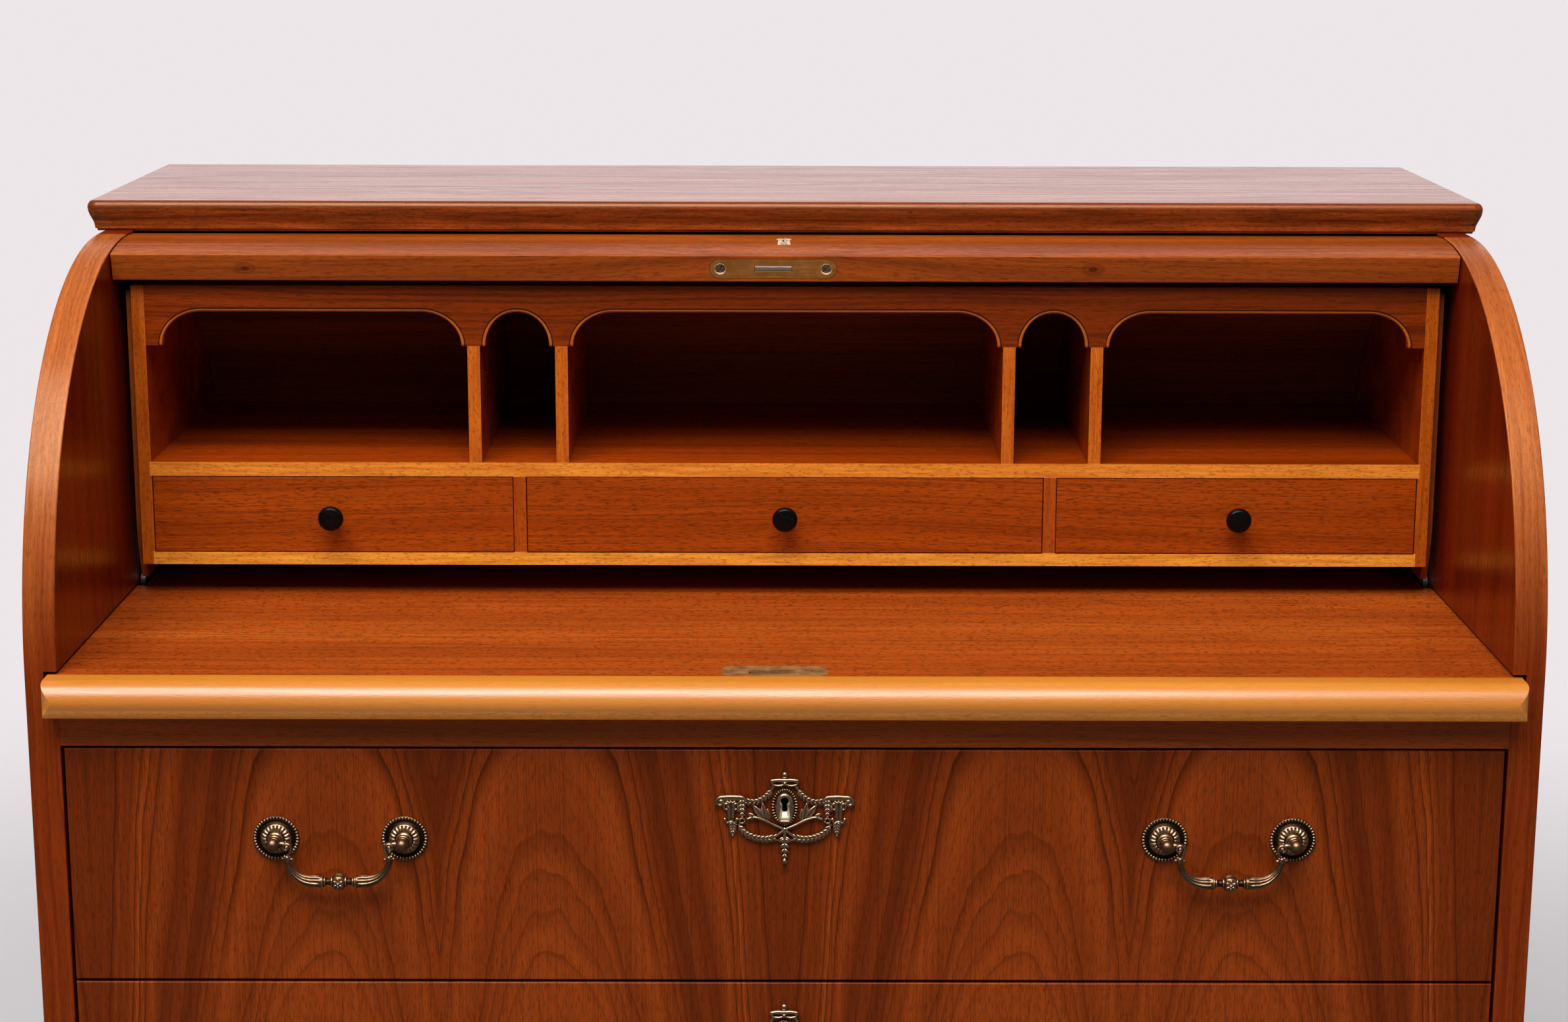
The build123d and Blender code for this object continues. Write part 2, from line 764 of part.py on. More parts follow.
def drawer_rosettes(number):
    solids = []
    for side in (-1, 1):
        for end in (-1, 1):
            x = side * handle_centre_x + end * handle_spacing / 2
            socket = rod_x(
                bail_pin_radius + bail_pin_gap, sorted((0, -end * 12)), -pivot_reach, 0)
            plug = rod_x(bail_pin_radius + 1, (-1.4, 1.4), -pivot_reach, 0)
            solids.append(Pos(x, front, handle_z(number)) * (rosette() - (socket - plug)))
    return group(*solids)


def bail():
    # Pivot line along X through the origin; the grip hangs below it.
    half = handle_spacing / 2
    arm_x = half - 7.5
    turn = 16
    stations = [(0, 1.5), (20, 1.9), (45, 2.6), (70, 3.3), (90, 3.8)]
    arc_low = -bail_drop + 13
    drop = bail_drop + arc_low
    rings = [Pos(arm_x, 0, -1.5) * Circle(1.7), Pos(arm_x, 0, arc_low + 3) * Circle(1.5)]
    for angle, radius in stations:
        swing = radians(angle)
        x = arm_x - turn * (1 - cos(swing))
        z = arc_low - drop * sin(swing)
        rings.append(Pos(x, 0, z) * Rot(0, angle, 0) * Circle(radius))
    grip_end = arm_x - turn - 7
    rings.append(Pos(grip_end, 0, -bail_drop) * Rot(0, 90, 0) * Circle(3.7))
    arm = loft(rings)
    scroll = Pos(arm_x, 0, 0) * Rot(90, 0, 0) * Cylinder(3.1, 4.6)
    pin = rod_x(bail_pin_radius, (arm_x, half - 1.6), 0, 0)
    collar = Pos(arm_x, 0, arc_low + 2) * Cylinder(2.6, 2.2)
    knop_outline = Polyline((0, 0), (grip_end, 0), (grip_end, 3), (grip_end - 1, 1.7), (4.6, 1.7), (4.4, 3.2))
    knop_round = ThreePointArc((4.4, 3.2), (3.2, 4.5), (0, 4.8))
    knop = revolve(make_face(knop_outline + knop_round + Line((0, 4.8), (0, 0))), Axis.X)
    right = arm + scroll + pin + collar + Pos(0, 0, -bail_drop) * knop
    return right + mirror(right, about=Plane.YZ)


def drawer_bail(number, side):
    return Pos(side * handle_centre_x, front - pivot_reach, handle_z(number)) * bail()


def escutcheon(number):
    # Pierced plate: oval keyhole frame, bow, capitals, leaf swags and pendants.
    frame = Ellipse(8.4, 12)
    bow = Pos(0, 16.4) * SlotOverall(15.4, 4.6) + Pos(0, 20.6) * Circle(2)
    pendant = Pos(0, -21) * Ellipse(2.7, 8) + Pos(0, -29.8) * Circle(1.7)
    sketch = frame + bow + pendant + Pos(0, -12.4) * Rectangle(3, 4)
    for side in (-1, 1):
        upper = ThreePointArc((side * 5.5, 15), (side * 13, 7.6), (side * 22, 5))
        lower = ThreePointArc((side * 25, -9.5), (side * 15, -17), (side * 1, -18.6))
        branch = ThreePointArc((side * 23, -5.5), (side * 12, -8.6), (0, -13))
        sketch += trace(upper, 2.8) + trace(lower, 3) + trace(branch, 2.2)
        capital = Pos(side * 30.6, 5.6) * SlotOverall(18, 4.4) + Pos(side * 37.4, 3.4) * Circle(2.6)
        column = Pos(side * 28, -2.6) * Rectangle(10, 15) + Pos(side * 29.4, -12.4) * Ellipse(2.4, 5)
        sketch += capital + column
        leaf = Pos(side * 13.2, -2.6) * Rot(0, 0, side * -28) * Ellipse(2.2, 7)
        sketch += leaf
    face = Pos(0, drawer_bottom_edge(number) + drawer_height - escutcheon_drop) * sketch
    plate = extrude_y(face, (front - escutcheon_thickness, front))
    return plate - extrude_y(drawer_keyhole(number), (front - escutcheon_thickness, front))


# The nodes, body by body
nodes["side_left"] = left_side()
nodes["side_right"] = mirror(nodes["side_left"], about=Plane.YZ)
nodes["top_board"] = top_board()
nodes["back_panel"] = board((-inner_half, inner_half), (back_inner, carcase_back), (leg_height, sides_top))
nodes["bottom_panel"] = board((-inner_half, inner_half), (front, back_inner), (leg_height, floor_z))
nodes["front_rail"] = front_rail()
nodes["slide_runners"] = slide_runners()
nodes["drawer_runners"] = drawer_runners()
nodes["legs"] = legs()
nodes["leg_glides"] = leg_glides()
nodes["base_rails"] = base_rails()
nodes["pivot_pins"] = pivot_pins()
nodes["unit_sides"] = unit_sides()
nodes["unit_cheeks"] = unit_cheeks()
nodes["unit_shelves"] = unit_shelves()
nodes["unit_dividers"] = unit_dividers()
nodes["unit_apron"] = unit_apron()
nodes["unit_back"] = unit_back()
nodes["unit_bearers"] = unit_bearers()
nodes["cover_panel"] = cover_panel()
nodes["cover_rail"] = cover_rail()
nodes["cover_arms"] = cover_arms()
nodes["cover_lock_plate"] = lock_plate()
nodes["cover_lock_case"] = lock_case()
nodes["cover_lock_bolt"] = lock_bolt()
nodes["cover_lock_screws"] = lock_screws()
nodes["cover_key_plate"] = key_plate()
nodes["writing_slide"] = writing_slide()
nodes["slide_lipping"] = slide_lipping()
nodes["strike_plate"] = strike_plate()
nodes["strike_screws"] = strike_screws()
for index, place in enumerate(("left", "middle", "right")):
    nodes[f"small_drawer_{place}_front"] = small_front(index)
    nodes[f"small_drawer_{place}_box"] = small_box(index)
    nodes[f"small_drawer_{place}_knob"] = small_knob(index)
for number in range(1, drawer_count + 1):
    nodes[f"drawer_{number}_front"] = drawer_front(number)
    nodes[f"drawer_{number}_box"] = drawer_box(number)
    nodes[f"drawer_{number}_rosettes"] = drawer_rosettes(number)
    nodes[f"drawer_{number}_escutcheon"] = escutcheon(number)
    nodes[f"drawer_{number}_bail_left"] = drawer_bail(number, -1)
    nodes[f"drawer_{number}_bail_right"] = drawer_bail(number, 1)
nodes["drawer_1_lock_case"] = drawer_lock_case()
nodes["drawer_1_lock_bolt"] = drawer_lock_bolt()

for name, shape in nodes.items():
    export_step(shape, f"parts/{name}.step")
print(len(nodes), "nodes written")
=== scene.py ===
import json
from math import pi, radians

import bpy
import numpy as np
from mathutils import Matrix


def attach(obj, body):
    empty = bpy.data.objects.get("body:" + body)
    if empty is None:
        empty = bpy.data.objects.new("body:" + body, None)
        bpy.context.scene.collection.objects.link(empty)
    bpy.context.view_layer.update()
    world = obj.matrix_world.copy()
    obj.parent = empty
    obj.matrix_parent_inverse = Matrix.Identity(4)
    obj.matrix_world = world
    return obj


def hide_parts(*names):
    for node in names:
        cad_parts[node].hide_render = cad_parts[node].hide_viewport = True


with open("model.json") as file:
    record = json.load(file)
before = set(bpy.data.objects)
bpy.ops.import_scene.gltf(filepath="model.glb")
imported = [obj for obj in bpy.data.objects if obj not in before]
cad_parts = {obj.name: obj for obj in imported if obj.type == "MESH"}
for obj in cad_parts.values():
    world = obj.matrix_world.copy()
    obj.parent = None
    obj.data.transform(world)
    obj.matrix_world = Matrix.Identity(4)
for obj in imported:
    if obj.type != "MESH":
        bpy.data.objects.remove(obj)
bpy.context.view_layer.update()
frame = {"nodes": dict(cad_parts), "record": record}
nodes = frame["nodes"]
bpy.context.scene.view_settings.view_transform = "Standard"
print("frame loaded:", len(nodes), "nodes")

# Places shared by several pieces, in millimetres
desk = {
    "front": -234.0, "unitFront": -42.3, "axisY": -4.0, "axisZ": 747.5, "browRadius": 230.0,
    "handleX": 263.0, "handleZ": (647.1, 501.4, 355.7), "postSpacing": 76.0, "pivotReach": 11.0,
    "keyholeZ": (668.1, 522.4, 376.7),
}

cameraSettings = {
    "place": (-0.004132, -1.845471, 1.201661), "lens": 65.6086,
    "pitch": 12.4413, "roll": 0.1567, "yaw": 0.1136,
}


def placeCamera(s):
    # Level camera turned by yaw, tipped down by pitch, then rolled about its own line of sight.
    data = bpy.data.cameras.new("deskCamera")
    data.sensor_fit = "HORIZONTAL"
    data.sensor_width = 36
    data.lens = s["lens"]
    camera = bpy.data.objects.new("deskCamera", data)
    bpy.context.scene.collection.objects.link(camera)
    turn = Matrix.Rotation(-radians(s["yaw"]), 4, "Z")
    tip = Matrix.Rotation(radians(90 - s["pitch"]), 4, "X")
    roll = Matrix.Rotation(radians(s["roll"]), 4, "Z")
    camera.matrix_world = Matrix.Translation(s["place"]) @ turn @ tip @ roll
    bpy.context.scene.camera = camera


placeCamera(cameraSettings)


# Shader building

class Wire:
    # A node's output that adds, scales and compares like a number; each step adds a node.
    def __init__(self, shading, socket):
        self.shading, self.socket = shading, socket

    def __add__(self, other):
        return self.shading.math("ADD", self, other)

    def __sub__(self, other):
        return self.shading.math("SUBTRACT", self, other)

    def __rsub__(self, other):
        return self.shading.math("SUBTRACT", other, self)

    def __mul__(self, other):
        return self.shading.math("MULTIPLY", self, other)

    def __truediv__(self, other):
        return self.shading.math("DIVIDE", self, other)

    def __pow__(self, other):
        return self.shading.math("POWER", self, other)

    def __abs__(self):
        return self.shading.math("ABSOLUTE", self)

    def __lt__(self, other):
        return self.shading.math("LESS_THAN", self, other)

    def __gt__(self, other):
        return self.shading.math("GREATER_THAN", self, other)

    def root(self):
        return self.shading.math("SQRT", self)

    def span(self, low, high, outLow=0.0, outHigh=1.0):
        # A smooth step from outLow to outHigh while the value goes from low to high.
        sockets = {"Value": self, "From Min": low, "From Max": high, "To Min": outLow, "To Max": outHigh}
        return self.shading.wire("MapRange", sockets, interpolation_type="SMOOTHSTEP")

    def ramp(self, *stops):
        # Colours at rising values, blended between neighbours.
        node = self.shading.add("ValToRGB", {0: self})
        ends = node.color_ramp.elements
        while len(ends) < len(stops):
            ends.new(0.5)
        for element, (position, colour) in zip(ends, stops):
            element.position = position
            element.color = (*colour, 1.0)
        return Wire(self.shading, node.outputs[0])


class Shading:
    # A node tree; settings are a node's own fields, and sockets are its inputs by name or number.
    def __init__(self, tree):
        self.tree = tree
        tree.nodes.clear()

    def put(self, socket, value):
        if isinstance(value, Wire):
            self.tree.links.new(value.socket, socket)
        elif socket.type == "RGBA":
            socket.default_value = (*value[:3], 1.0)
        else:
            socket.default_value = value

    def add(self, kind, sockets=(), **settings):
        node = self.tree.nodes.new("ShaderNode" + kind)
        for key, value in settings.items():
            setattr(node, key, value)
        for key, value in dict(sockets).items():
            self.put(node.inputs[key], value)
        return node

    def wire(self, kind, sockets=(), output=0, **settings):
        return Wire(self, self.add(kind, sockets, **settings).outputs[output])

    def math(self, operation, *values):
        return self.wire("Math", enumerate(values), operation=operation)

    def mix(self, factor, a, b, blend="MIX"):
        return self.wire("Mix", {"Factor": factor, 6: a, 7: b}, 2, data_type="RGBA", blend_type=blend)

    def noise(self, parts, scales, detail=2.0, rough=0.5):
        # Each coordinate has its own scale, for streaks along a chosen direction.
        scaled = [part * scale for part, scale in zip(parts, scales)]
        vector = self.wire("CombineXYZ", enumerate(scaled))
        return self.wire("TexNoise", {"Vector": vector, "Scale": 1.0, "Detail": detail, "Roughness": rough})


class Finish(Shading):
    # One procedural material.
    def __init__(self, name, roughness=0.4, metallic=0.0, mirror=0.5, tint=(1.0, 1.0, 1.0)):
        self.material = bpy.data.materials.new(name)
        self.material.use_nodes = True
        super().__init__(self.material.node_tree)
        self.surface = self.add("BsdfPrincipled", {
            "Roughness": roughness, "Metallic": metallic, "Specular IOR Level": mirror, "Specular Tint": tint})
        self.add("OutputMaterial", {"Surface": Wire(self, self.surface.outputs[0])})

    def place(self):
        # Object coordinates in millimetres, split into x, y and z.
        grown = self.wire("VectorMath", {0: self.wire("TexCoord", output="Object"), "Scale": 1000}, operation="SCALE")
        split = self.add("SeparateXYZ", {0: grown})
        return [Wire(self, output) for output in split.outputs]

    def set(self, key, value):
        self.put(self.surface.inputs[key], value)

    def bump(self, height, distance):
        self.set("Normal", self.wire("Bump", {"Strength": 1.0, "Distance": distance, "Height": height}))


def darker(colour, factor):
    # Each part of the colour times the factor.
    return tuple(part * factor for part in colour)


# Wood finishes

warmGloss = (1.0, 0.78, 0.48)


def grainLines(finish, order, s):
    # Streaks: noise drawn out along the grain, after a slow sideways sway of the lines.
    along, across, depth = order
    sway = finish.noise(order, (0.0022, 0.007, 0.007))
    bent = across + (sway - 0.5) * s["sway"]
    wide = finish.noise((along, bent, depth), (0.0011, s["band"], s["band"]), detail=3)
    fine = finish.noise((along, bent, depth), (0.006, s["line"], s["line"]), detail=4, rough=0.62)
    return wide, fine


def poreDashes(finish, order, s):
    # Short dark dashes: the low end of a noise that is long along the grain and fine across it.
    dots = finish.noise(order, (s["poreAlong"], s["poreAcross"], s["poreAcross"]), rough=0.6)
    return dots.span(0.36, 0.47, 1.0, 0.0)


def woodFinish(name, s):
    # Wide bands choose between dark and light wood, fine lines and pores darken it again.
    finish = Finish(name, s["gloss"], mirror=s["mirror"], tint=s["tint"])
    x, y, z = finish.place()
    if s["grain"] == "matched":
        # Two leaves mirrored at the middle; a line's height falls by rise (1 - e^(-reach / fade)) away from it.
        reach = abs(x + 6.0)
        gone = finish.math("EXPONENT", reach / -s["fade"])
        order = (reach, z + (1.0 - gone) * s["rise"], y)
    else:
        order = {"x": (x, z, y), "y": (y, x, z), "z": (z, x, y), "zy": (z, y, x)}[s["grain"]]
    wide, fine = grainLines(finish, order, s)
    tone = wide.ramp((0.32, s["dark"]), (0.5, s["mid"]), (0.68, s["light"]))
    tone = finish.mix(fine.span(0.42, 0.7, 0.0, s["lineDepth"]), tone, darker(s["dark"], 0.62))
    pores = poreDashes(finish, order, s)
    tone = finish.mix(pores * s["poreDepth"], tone, darker(s["dark"], 0.35))
    for edge in s.get("edges", ()):
        mask, edgeTone = edge(finish, x, y, z, pores)
        tone = finish.mix(mask, tone, edgeTone)
    finish.set("Base Color", tone)
    finish.set("Roughness", fine.span(0.3, 0.75, s["gloss"] - 0.05, s["gloss"] + 0.09))
    finish.bump(pores * -1.0 + fine * 0.35, s["relief"])
    return finish.material


def flecked(finish, order, dark, light):
    # Edging wood with its grain along the first coordinate: long streaks, crossed by short dark flecks.
    streak = finish.noise(order, (0.02, 0.4, 0.4), detail=3, rough=0.6)
    fleck = finish.noise(order, (0.3, 1.0, 1.0), rough=0.6)
    tone = streak.ramp((0.3, dark), (0.7, light))
    return finish.mix(fleck.span(0.53, 0.66, 0.0, 0.55), tone, darker(dark, 0.5))


def edging(where, dark, light, upright=False):
    # Edging wood where a test of x, y and z holds; x and z change places where its grain is upright.
    def edge(finish, x, y, z, pores):
        return where(x, y, z), flecked(finish, (z, y, x) if upright else (x, y, z), dark, light)
    return edge


def frontEdge(limit, dark, light, upright=False):
    # Everything in front of a plane y = limit.
    return edging(lambda x, y, z: y < limit, dark, light, upright)


def archEdge(limit, dark, light):
    # Everything behind a plane y = limit.
    return edging(lambda x, y, z: y > limit, dark, light)


def stripEdge(near, far, low, high, dark, light, upright=False):
    # Front edges of the unit with |x| between near and far and z between low and high.
    def strip(x, y, z):
        reach = abs(x)
        across = (reach > near) * (reach < far)
        return across * ((z > low) * (z < high)) * (y < desk["unitFront"] + 0.6)
    return edging(strip, dark, light, upright)


def lowerBand(limit, dark, light):
    # Everything below a height z = limit.
    def edge(finish, x, y, z, pores):
        tone = finish.mix(pores * 0.4, flecked(finish, (x, y, z), dark, light), darker(dark, 0.4))
        return z.span(limit - 1.5, limit + 1.5, 1.0, 0.0), tone
    return edge


def knotSpot(x0, z0, size, dark):
    # A knot: a dark heart with rings round it, r = sqrt(0.3 (x - x0)^2 + (z - z0)^2).
    def edge(finish, x, y, z, pores):
        radius = ((x - x0) ** 2.0 * 0.3 + (z - z0) ** 2.0).root()
        ring = finish.math("SINE", radius * (5.5 / size))
        return radius.span(size * 0.25, size * 2.2, 1.0, 0.0) * ring.span(-1.0, 1.0, 0.35, 0.9), dark
    return edge


def browEdge(dark, light, low):
    # The curved front edge: beyond a radius from the cover's axis, or in front of the front plane.
    # Below the curve the wood darkens towards low: painted shade on the upright lower part of the edge.
    def edge(finish, x, y, z, pores):
        backY = y - desk["axisY"]
        upZ = finish.math("MAXIMUM", z - desk["axisZ"], 0.0)
        radius = (backY ** 2.0 + upZ ** 2.0).root()
        mask = (y < desk["axisY"] + 1.0) * (radius > desk["browRadius"] - 0.9)
        swing = finish.math("ARCTAN2", upZ, backY * -1.0)
        along = swing * desk["browRadius"] + finish.math("MINIMUM", z, desk["axisZ"])
        sway = finish.noise((along, x, 0.0), (0.008, 0.03, 1.0))
        bent = x + (sway - 0.5) * 14.0
        streak = finish.noise((along, bent, 3.0), (0.006, 0.32, 1.0), detail=4, rough=0.6)
        tone = streak.ramp((0.3, dark), (0.7, light))
        dash = finish.noise((along, x, 0.0), (0.14, 1.9, 1.0))
        tone = finish.mix(dash.span(0.36, 0.46, 0.45, 0.0), tone, darker(dark, 0.45))
        # Painted shade: the edge is multiplied by low from z = 880 down to 735.
        return mask, finish.mix(z.span(735.0, 880.0, 1.0, 0.0), tone, finish.mix(1.0, tone, low, "MULTIPLY"))
    return edge


def woodSettings(grain, dark, mid, light, **other):
    # What most of the woods share; other replaces or adds to it.
    base = {"grain": grain, "dark": dark, "mid": mid, "light": light, "sway": 30.0, "band": 0.035, "line": 0.42,
            "lineDepth": 0.5, "poreAlong": 0.14, "poreAcross": 1.15, "poreDepth": 0.45, "gloss": 0.27, "mirror": 0.32,
            "tint": warmGloss, "relief": 0.00002}
    return {**base, **other}


woods = {
    "side_veneer": woodSettings(
        "zy", (0.12, 0.008, 0.001), (0.17, 0.0125, 0.0015), (0.22, 0.019, 0.0022), lineDepth=0.18,
        # The brow edge's third colour darkens it lower down: painted shade.
        edges=(browEdge((0.28, 0.054, 0.010), (0.54, 0.145, 0.032), (0.48, 0.24, 0.08)),)),
    "top_veneer": woodSettings(
        "x", (0.17, 0.024, 0.002), (0.25, 0.040, 0.005), (0.34, 0.062, 0.008), mirror=0.5,
        edges=(lowerBand(994.0, (0.085, 0.014, 0.002), (0.31, 0.056, 0.008)),
               lowerBand(984.5, (0.14, 0.025, 0.003), (0.44, 0.082, 0.010)))),
    "back_ply": woodSettings(
        "z", (0.24, 0.12, 0.055), (0.33, 0.18, 0.085), (0.40, 0.24, 0.12), gloss=0.62, lineDepth=0.3,
        edges=(frontEdge(desk["front"] + 28.0, (0.14, 0.021, 0.002), (0.30, 0.052, 0.006)),)),
    "rail_wood": woodSettings("x", (0.17, 0.028, 0.003), (0.25, 0.043, 0.0045), (0.33, 0.062, 0.006)),
    "leg_wood": woodSettings("z", (0.14, 0.018, 0.003), (0.21, 0.030, 0.004), (0.28, 0.045, 0.006)),
    "unit_wood": woodSettings(
        "x", (0.24, 0.027, 0.001), (0.37, 0.044, 0.0018), (0.48, 0.065, 0.0025), lineDepth=0.4,
        edges=(frontEdge(desk["unitFront"] + 0.3, (0.42, 0.076, 0.005), (0.62, 0.15, 0.012), upright=True),
               # Outer side edges, darker than the other front edges: painted shade from the cover above and the gap
               # beside them.
               stripEdge(408.2, 417.0, 760.0, 950.0, (0.32, 0.055, 0.003), (0.48, 0.10, 0.007), upright=True),
               stripEdge(0.0, 409.0, 826.0, 835.5, (0.56, 0.14, 0.012), (0.86, 0.30, 0.034)),
               stripEdge(0.0, 409.0, 760.0, 776.3, (0.60, 0.18, 0.017), (0.92, 0.38, 0.042)),
               stripEdge(166.0, 176.0, 776.3, 826.0, (0.28, 0.040, 0.003), (0.44, 0.078, 0.006), upright=True))),
    # Cheeks darker than plain plywood: painted shade, so that their front edges read as the dark gap beside the unit.
    "cheek_ply": woodSettings("z", (0.16, 0.026, 0.003), (0.24, 0.045, 0.005), (0.32, 0.068, 0.008), gloss=0.5),
    "apron_veneer": woodSettings(
        "x", (0.12, 0.014, 0.001), (0.23, 0.029, 0.0015), (0.36, 0.050, 0.003), lineDepth=0.75,
        edges=(archEdge(desk["unitFront"] + 0.2, (0.34, 0.050, 0.004), (0.52, 0.10, 0.009)),)),
    "unit_back_ply": woodSettings("x", (0.20, 0.042, 0.011), (0.30, 0.068, 0.017), (0.40, 0.095, 0.024)),
    "cover_veneer": woodSettings(
        "matched", (0.21, 0.038, 0.005), (0.37, 0.071, 0.008), (0.49, 0.109, 0.015),
        rise=26.0, fade=160.0, lineDepth=0.6, mirror=0.2,
        edges=(knotSpot(194.0, 962.5, 2.6, (0.07, 0.010, 0.002)), knotSpot(-341.0, 962.0, 2.4, (0.07, 0.010, 0.002)))),
    "slide_veneer": woodSettings(
        "x", (0.32, 0.048, 0.0048), (0.42, 0.070, 0.0068), (0.50, 0.094, 0.010), lineDepth=0.8, sway=18.0,
        poreAlong=0.34, poreAcross=0.46, poreDepth=0.6, gloss=0.3),
    "lipping_wood": woodSettings(
        "x", (0.52, 0.150, 0.011), (0.62, 0.200, 0.017), (0.70, 0.245, 0.026), lineDepth=0.14, poreDepth=0.14,
        gloss=0.34, mirror=0.9, tint=(1.0, 1.0, 1.0),
        # Brighter and more orange below z = 731: painted light standing in for light from the front and below.
        edges=(lowerBand(731.0, (0.90, 0.28, 0.020), (1.0, 0.37, 0.032)),)),
    "small_veneer": woodSettings(
        "x", (0.28, 0.037, 0.0016), (0.37, 0.055, 0.0025), (0.44, 0.071, 0.0036), lineDepth=0.75, sway=22.0, line=0.9,
        poreAlong=0.18, poreAcross=1.5, poreDepth=0.7),
    "lining_wood": woodSettings(
        "y", (0.40, 0.24, 0.11), (0.50, 0.32, 0.16), (0.58, 0.40, 0.22), gloss=0.6, lineDepth=0.25),
}


flameSettings = {
    "leafWidth": 206.0, "flameAt": 139.0, "heartHeight": 300.0, "slope": 0.16, "startDepth": 14.0, "wander": 22.0,
    "dark": (0.120, 0.0155, 0.0016), "mid": (0.190, 0.0265, 0.0026), "light": (0.298, 0.0465, 0.0047),
    "ringPitch": 4.2, "ripple": 4.0, "gloss": 0.27, "mirror": 0.25,
}


def flameFinish(name, s):
    # Book-matched leaves: |x| folded at each leaf's width, so neighbours mirror each other.
    # In a leaf the rings are distances to a heart line that leans away from the cut: r = sqrt(u^2 + depth(z)^2).
    finish = Finish(name, s["gloss"], mirror=s["mirror"], tint=warmGloss)
    x, y, z = finish.place()
    fold = finish.math("PINGPONG", abs(x), s["leafWidth"])
    wander = finish.noise((fold, 0.0, z), (0.012, 1.0, 0.005))
    u = fold - s["flameAt"] + (wander - 0.5) * s["wander"]
    depth = (z - s["heartHeight"]) * s["slope"] + s["startDepth"]
    ripple = finish.noise((fold, 4.0, z), (0.07, 1.0, 0.018))
    radius = (u ** 2.0 + depth ** 2.0).root() + ripple * s["ripple"]
    # Each ring darkens slowly to a thin outer line and starts again light; some rings are fainter than others.
    bands = finish.noise((radius, 7.3, 0.0), (0.045, 1.0, 1.0), detail=3, rough=0.55)
    uneven = finish.noise((radius, 2.1, 0.0), (0.05, 1.0, 1.0), detail=1)
    turn = finish.math("FRACT", radius / s["ringPitch"] + uneven * 3.0)
    strong = finish.noise((radius, 5.7, z), (0.11, 1.0, 0.003), detail=1)
    streak = finish.noise((fold, y, z), (1.1, 0.05, 0.006), detail=5, rough=0.68)
    pores = finish.noise((fold, y, z), (1.9, 0.2, 0.16), rough=0.6).span(0.37, 0.47, 1.0, 0.0)
    tone = bands.ramp((0.36, s["dark"]), (0.5, s["mid"]), (0.64, s["light"]))
    for mask, shade in ((turn.span(0.35, 0.97) * strong.span(0.35, 0.68, 0.05, 0.5), 0.62),
                        (turn.span(0.8, 0.95) * strong.span(0.4, 0.62, 0.1, 0.6), 0.4),
                        (streak.span(0.45, 0.7, 0.0, 0.5), 0.55), (pores * 0.45, 0.35)):
        tone = finish.mix(mask, tone, darker(s["dark"], shade))
    finish.set("Base Color", tone)
    finish.set("Roughness", streak.span(0.3, 0.75, s["gloss"] - 0.05, s["gloss"] + 0.1))
    finish.bump(streak * 0.35 - pores, 0.00002)
    return finish.material


# Metal and other finishes

metals = {
    "lock_brass": {"bright": (0.78, 0.43, 0.115), "dull": (0.54, 0.26, 0.055), "rough": 0.42,
                   "brush": (0.05, 2.6, 2.6)},
    "strike_brass": {"bright": (0.62, 0.32, 0.12), "dull": (0.24, 0.10, 0.03), "rough": 0.44, "brush": (0.10, 1.6, 1.6),
                     "metal": 0.6},
    # Dark steel: partly the stays' own dark finish, partly painted shade so that the hub under the unit reads dark.
    "arm_steel": {"bright": (0.16, 0.15, 0.14), "dull": (0.07, 0.06, 0.055), "rough": 0.45, "brush": (0.6, 0.6, 0.6)},
    "screw_steel": {"bright": (0.42, 0.34, 0.26), "dull": (0.17, 0.13, 0.095), "rough": 0.42, "brush": (0.8, 0.8, 0.8)},
}

brassSettings = {
    "patina": (0.034, 0.019, 0.010), "worn": (0.22, 0.125, 0.065), "bright": (0.66, 0.45, 0.28),
    "reach": (0.6, 2.6), "rough": 0.34,
}


def brassFinish(name, s):
    # Dark patina in hollows and near the drawer, bright metal on ridges: the wear attribute and the height together.
    finish = Finish(name, s["rough"], metallic=1.0)
    x, y, z = finish.place()
    cloud = finish.noise((x, y, z), (0.16,) * 3, detail=4, rough=0.6)
    spots = finish.noise((x, y, z), (0.9,) * 3, detail=3, rough=0.6)
    height = desk["front"] - y
    raised = height.span(*s["reach"], 0.0, 0.3) + height.span(4.5, 8.0, 0.0, -0.07)
    wear = finish.wire("Attribute", output="Fac", attribute_name="wear") * 0.44
    blend = raised + wear + (cloud * 0.32 + spots * 0.22 - 0.27)
    finish.set("Base Color", blend.ramp((0.3, s["patina"]), (0.5, s["worn"]), (0.76, s["bright"])))
    finish.set("Roughness", blend.span(0.2, 0.8, s["rough"] + 0.14, s["rough"] - 0.06))
    finish.bump(spots, 0.00006)
    return finish.material


def metalFinish(name, s):
    # Dull and bright metal mixed by a clouded noise, with brush lines from a stretched one.
    finish = Finish(name, s["rough"], metallic=s.get("metal", 1.0))
    where = finish.place()
    cloud = finish.noise(where, (0.12,) * 3, detail=4, rough=0.6)
    brush = finish.noise(where, s["brush"], detail=3, rough=0.7)
    finish.set("Base Color", (cloud * 0.6 + brush * 0.4).ramp((0.36, s["dull"]), (0.62, s["bright"])))
    finish.set("Roughness", brush.span(0.3, 0.7, s["rough"] - 0.07, s["rough"] + 0.12))
    finish.bump(brush, 0.00003)
    return finish.material


boltSettings = {
    "rough": 0.38, "metal": 0.5, "angle": 12.65, "ends": (949.0, 953.0), "brush": (0.08, 0.9, 0.9),
    # Tones up the bolt's end: painted shade in the dark bands and a painted highlight at the top.
    "tones": ((0.04, (0.36, 0.29, 0.22)), (0.12, (0.06, 0.045, 0.035)), (0.45, (0.34, 0.29, 0.23)),
              (0.74, (0.15, 0.12, 0.10)), (0.86, (1.0, 0.92, 0.78))),
}


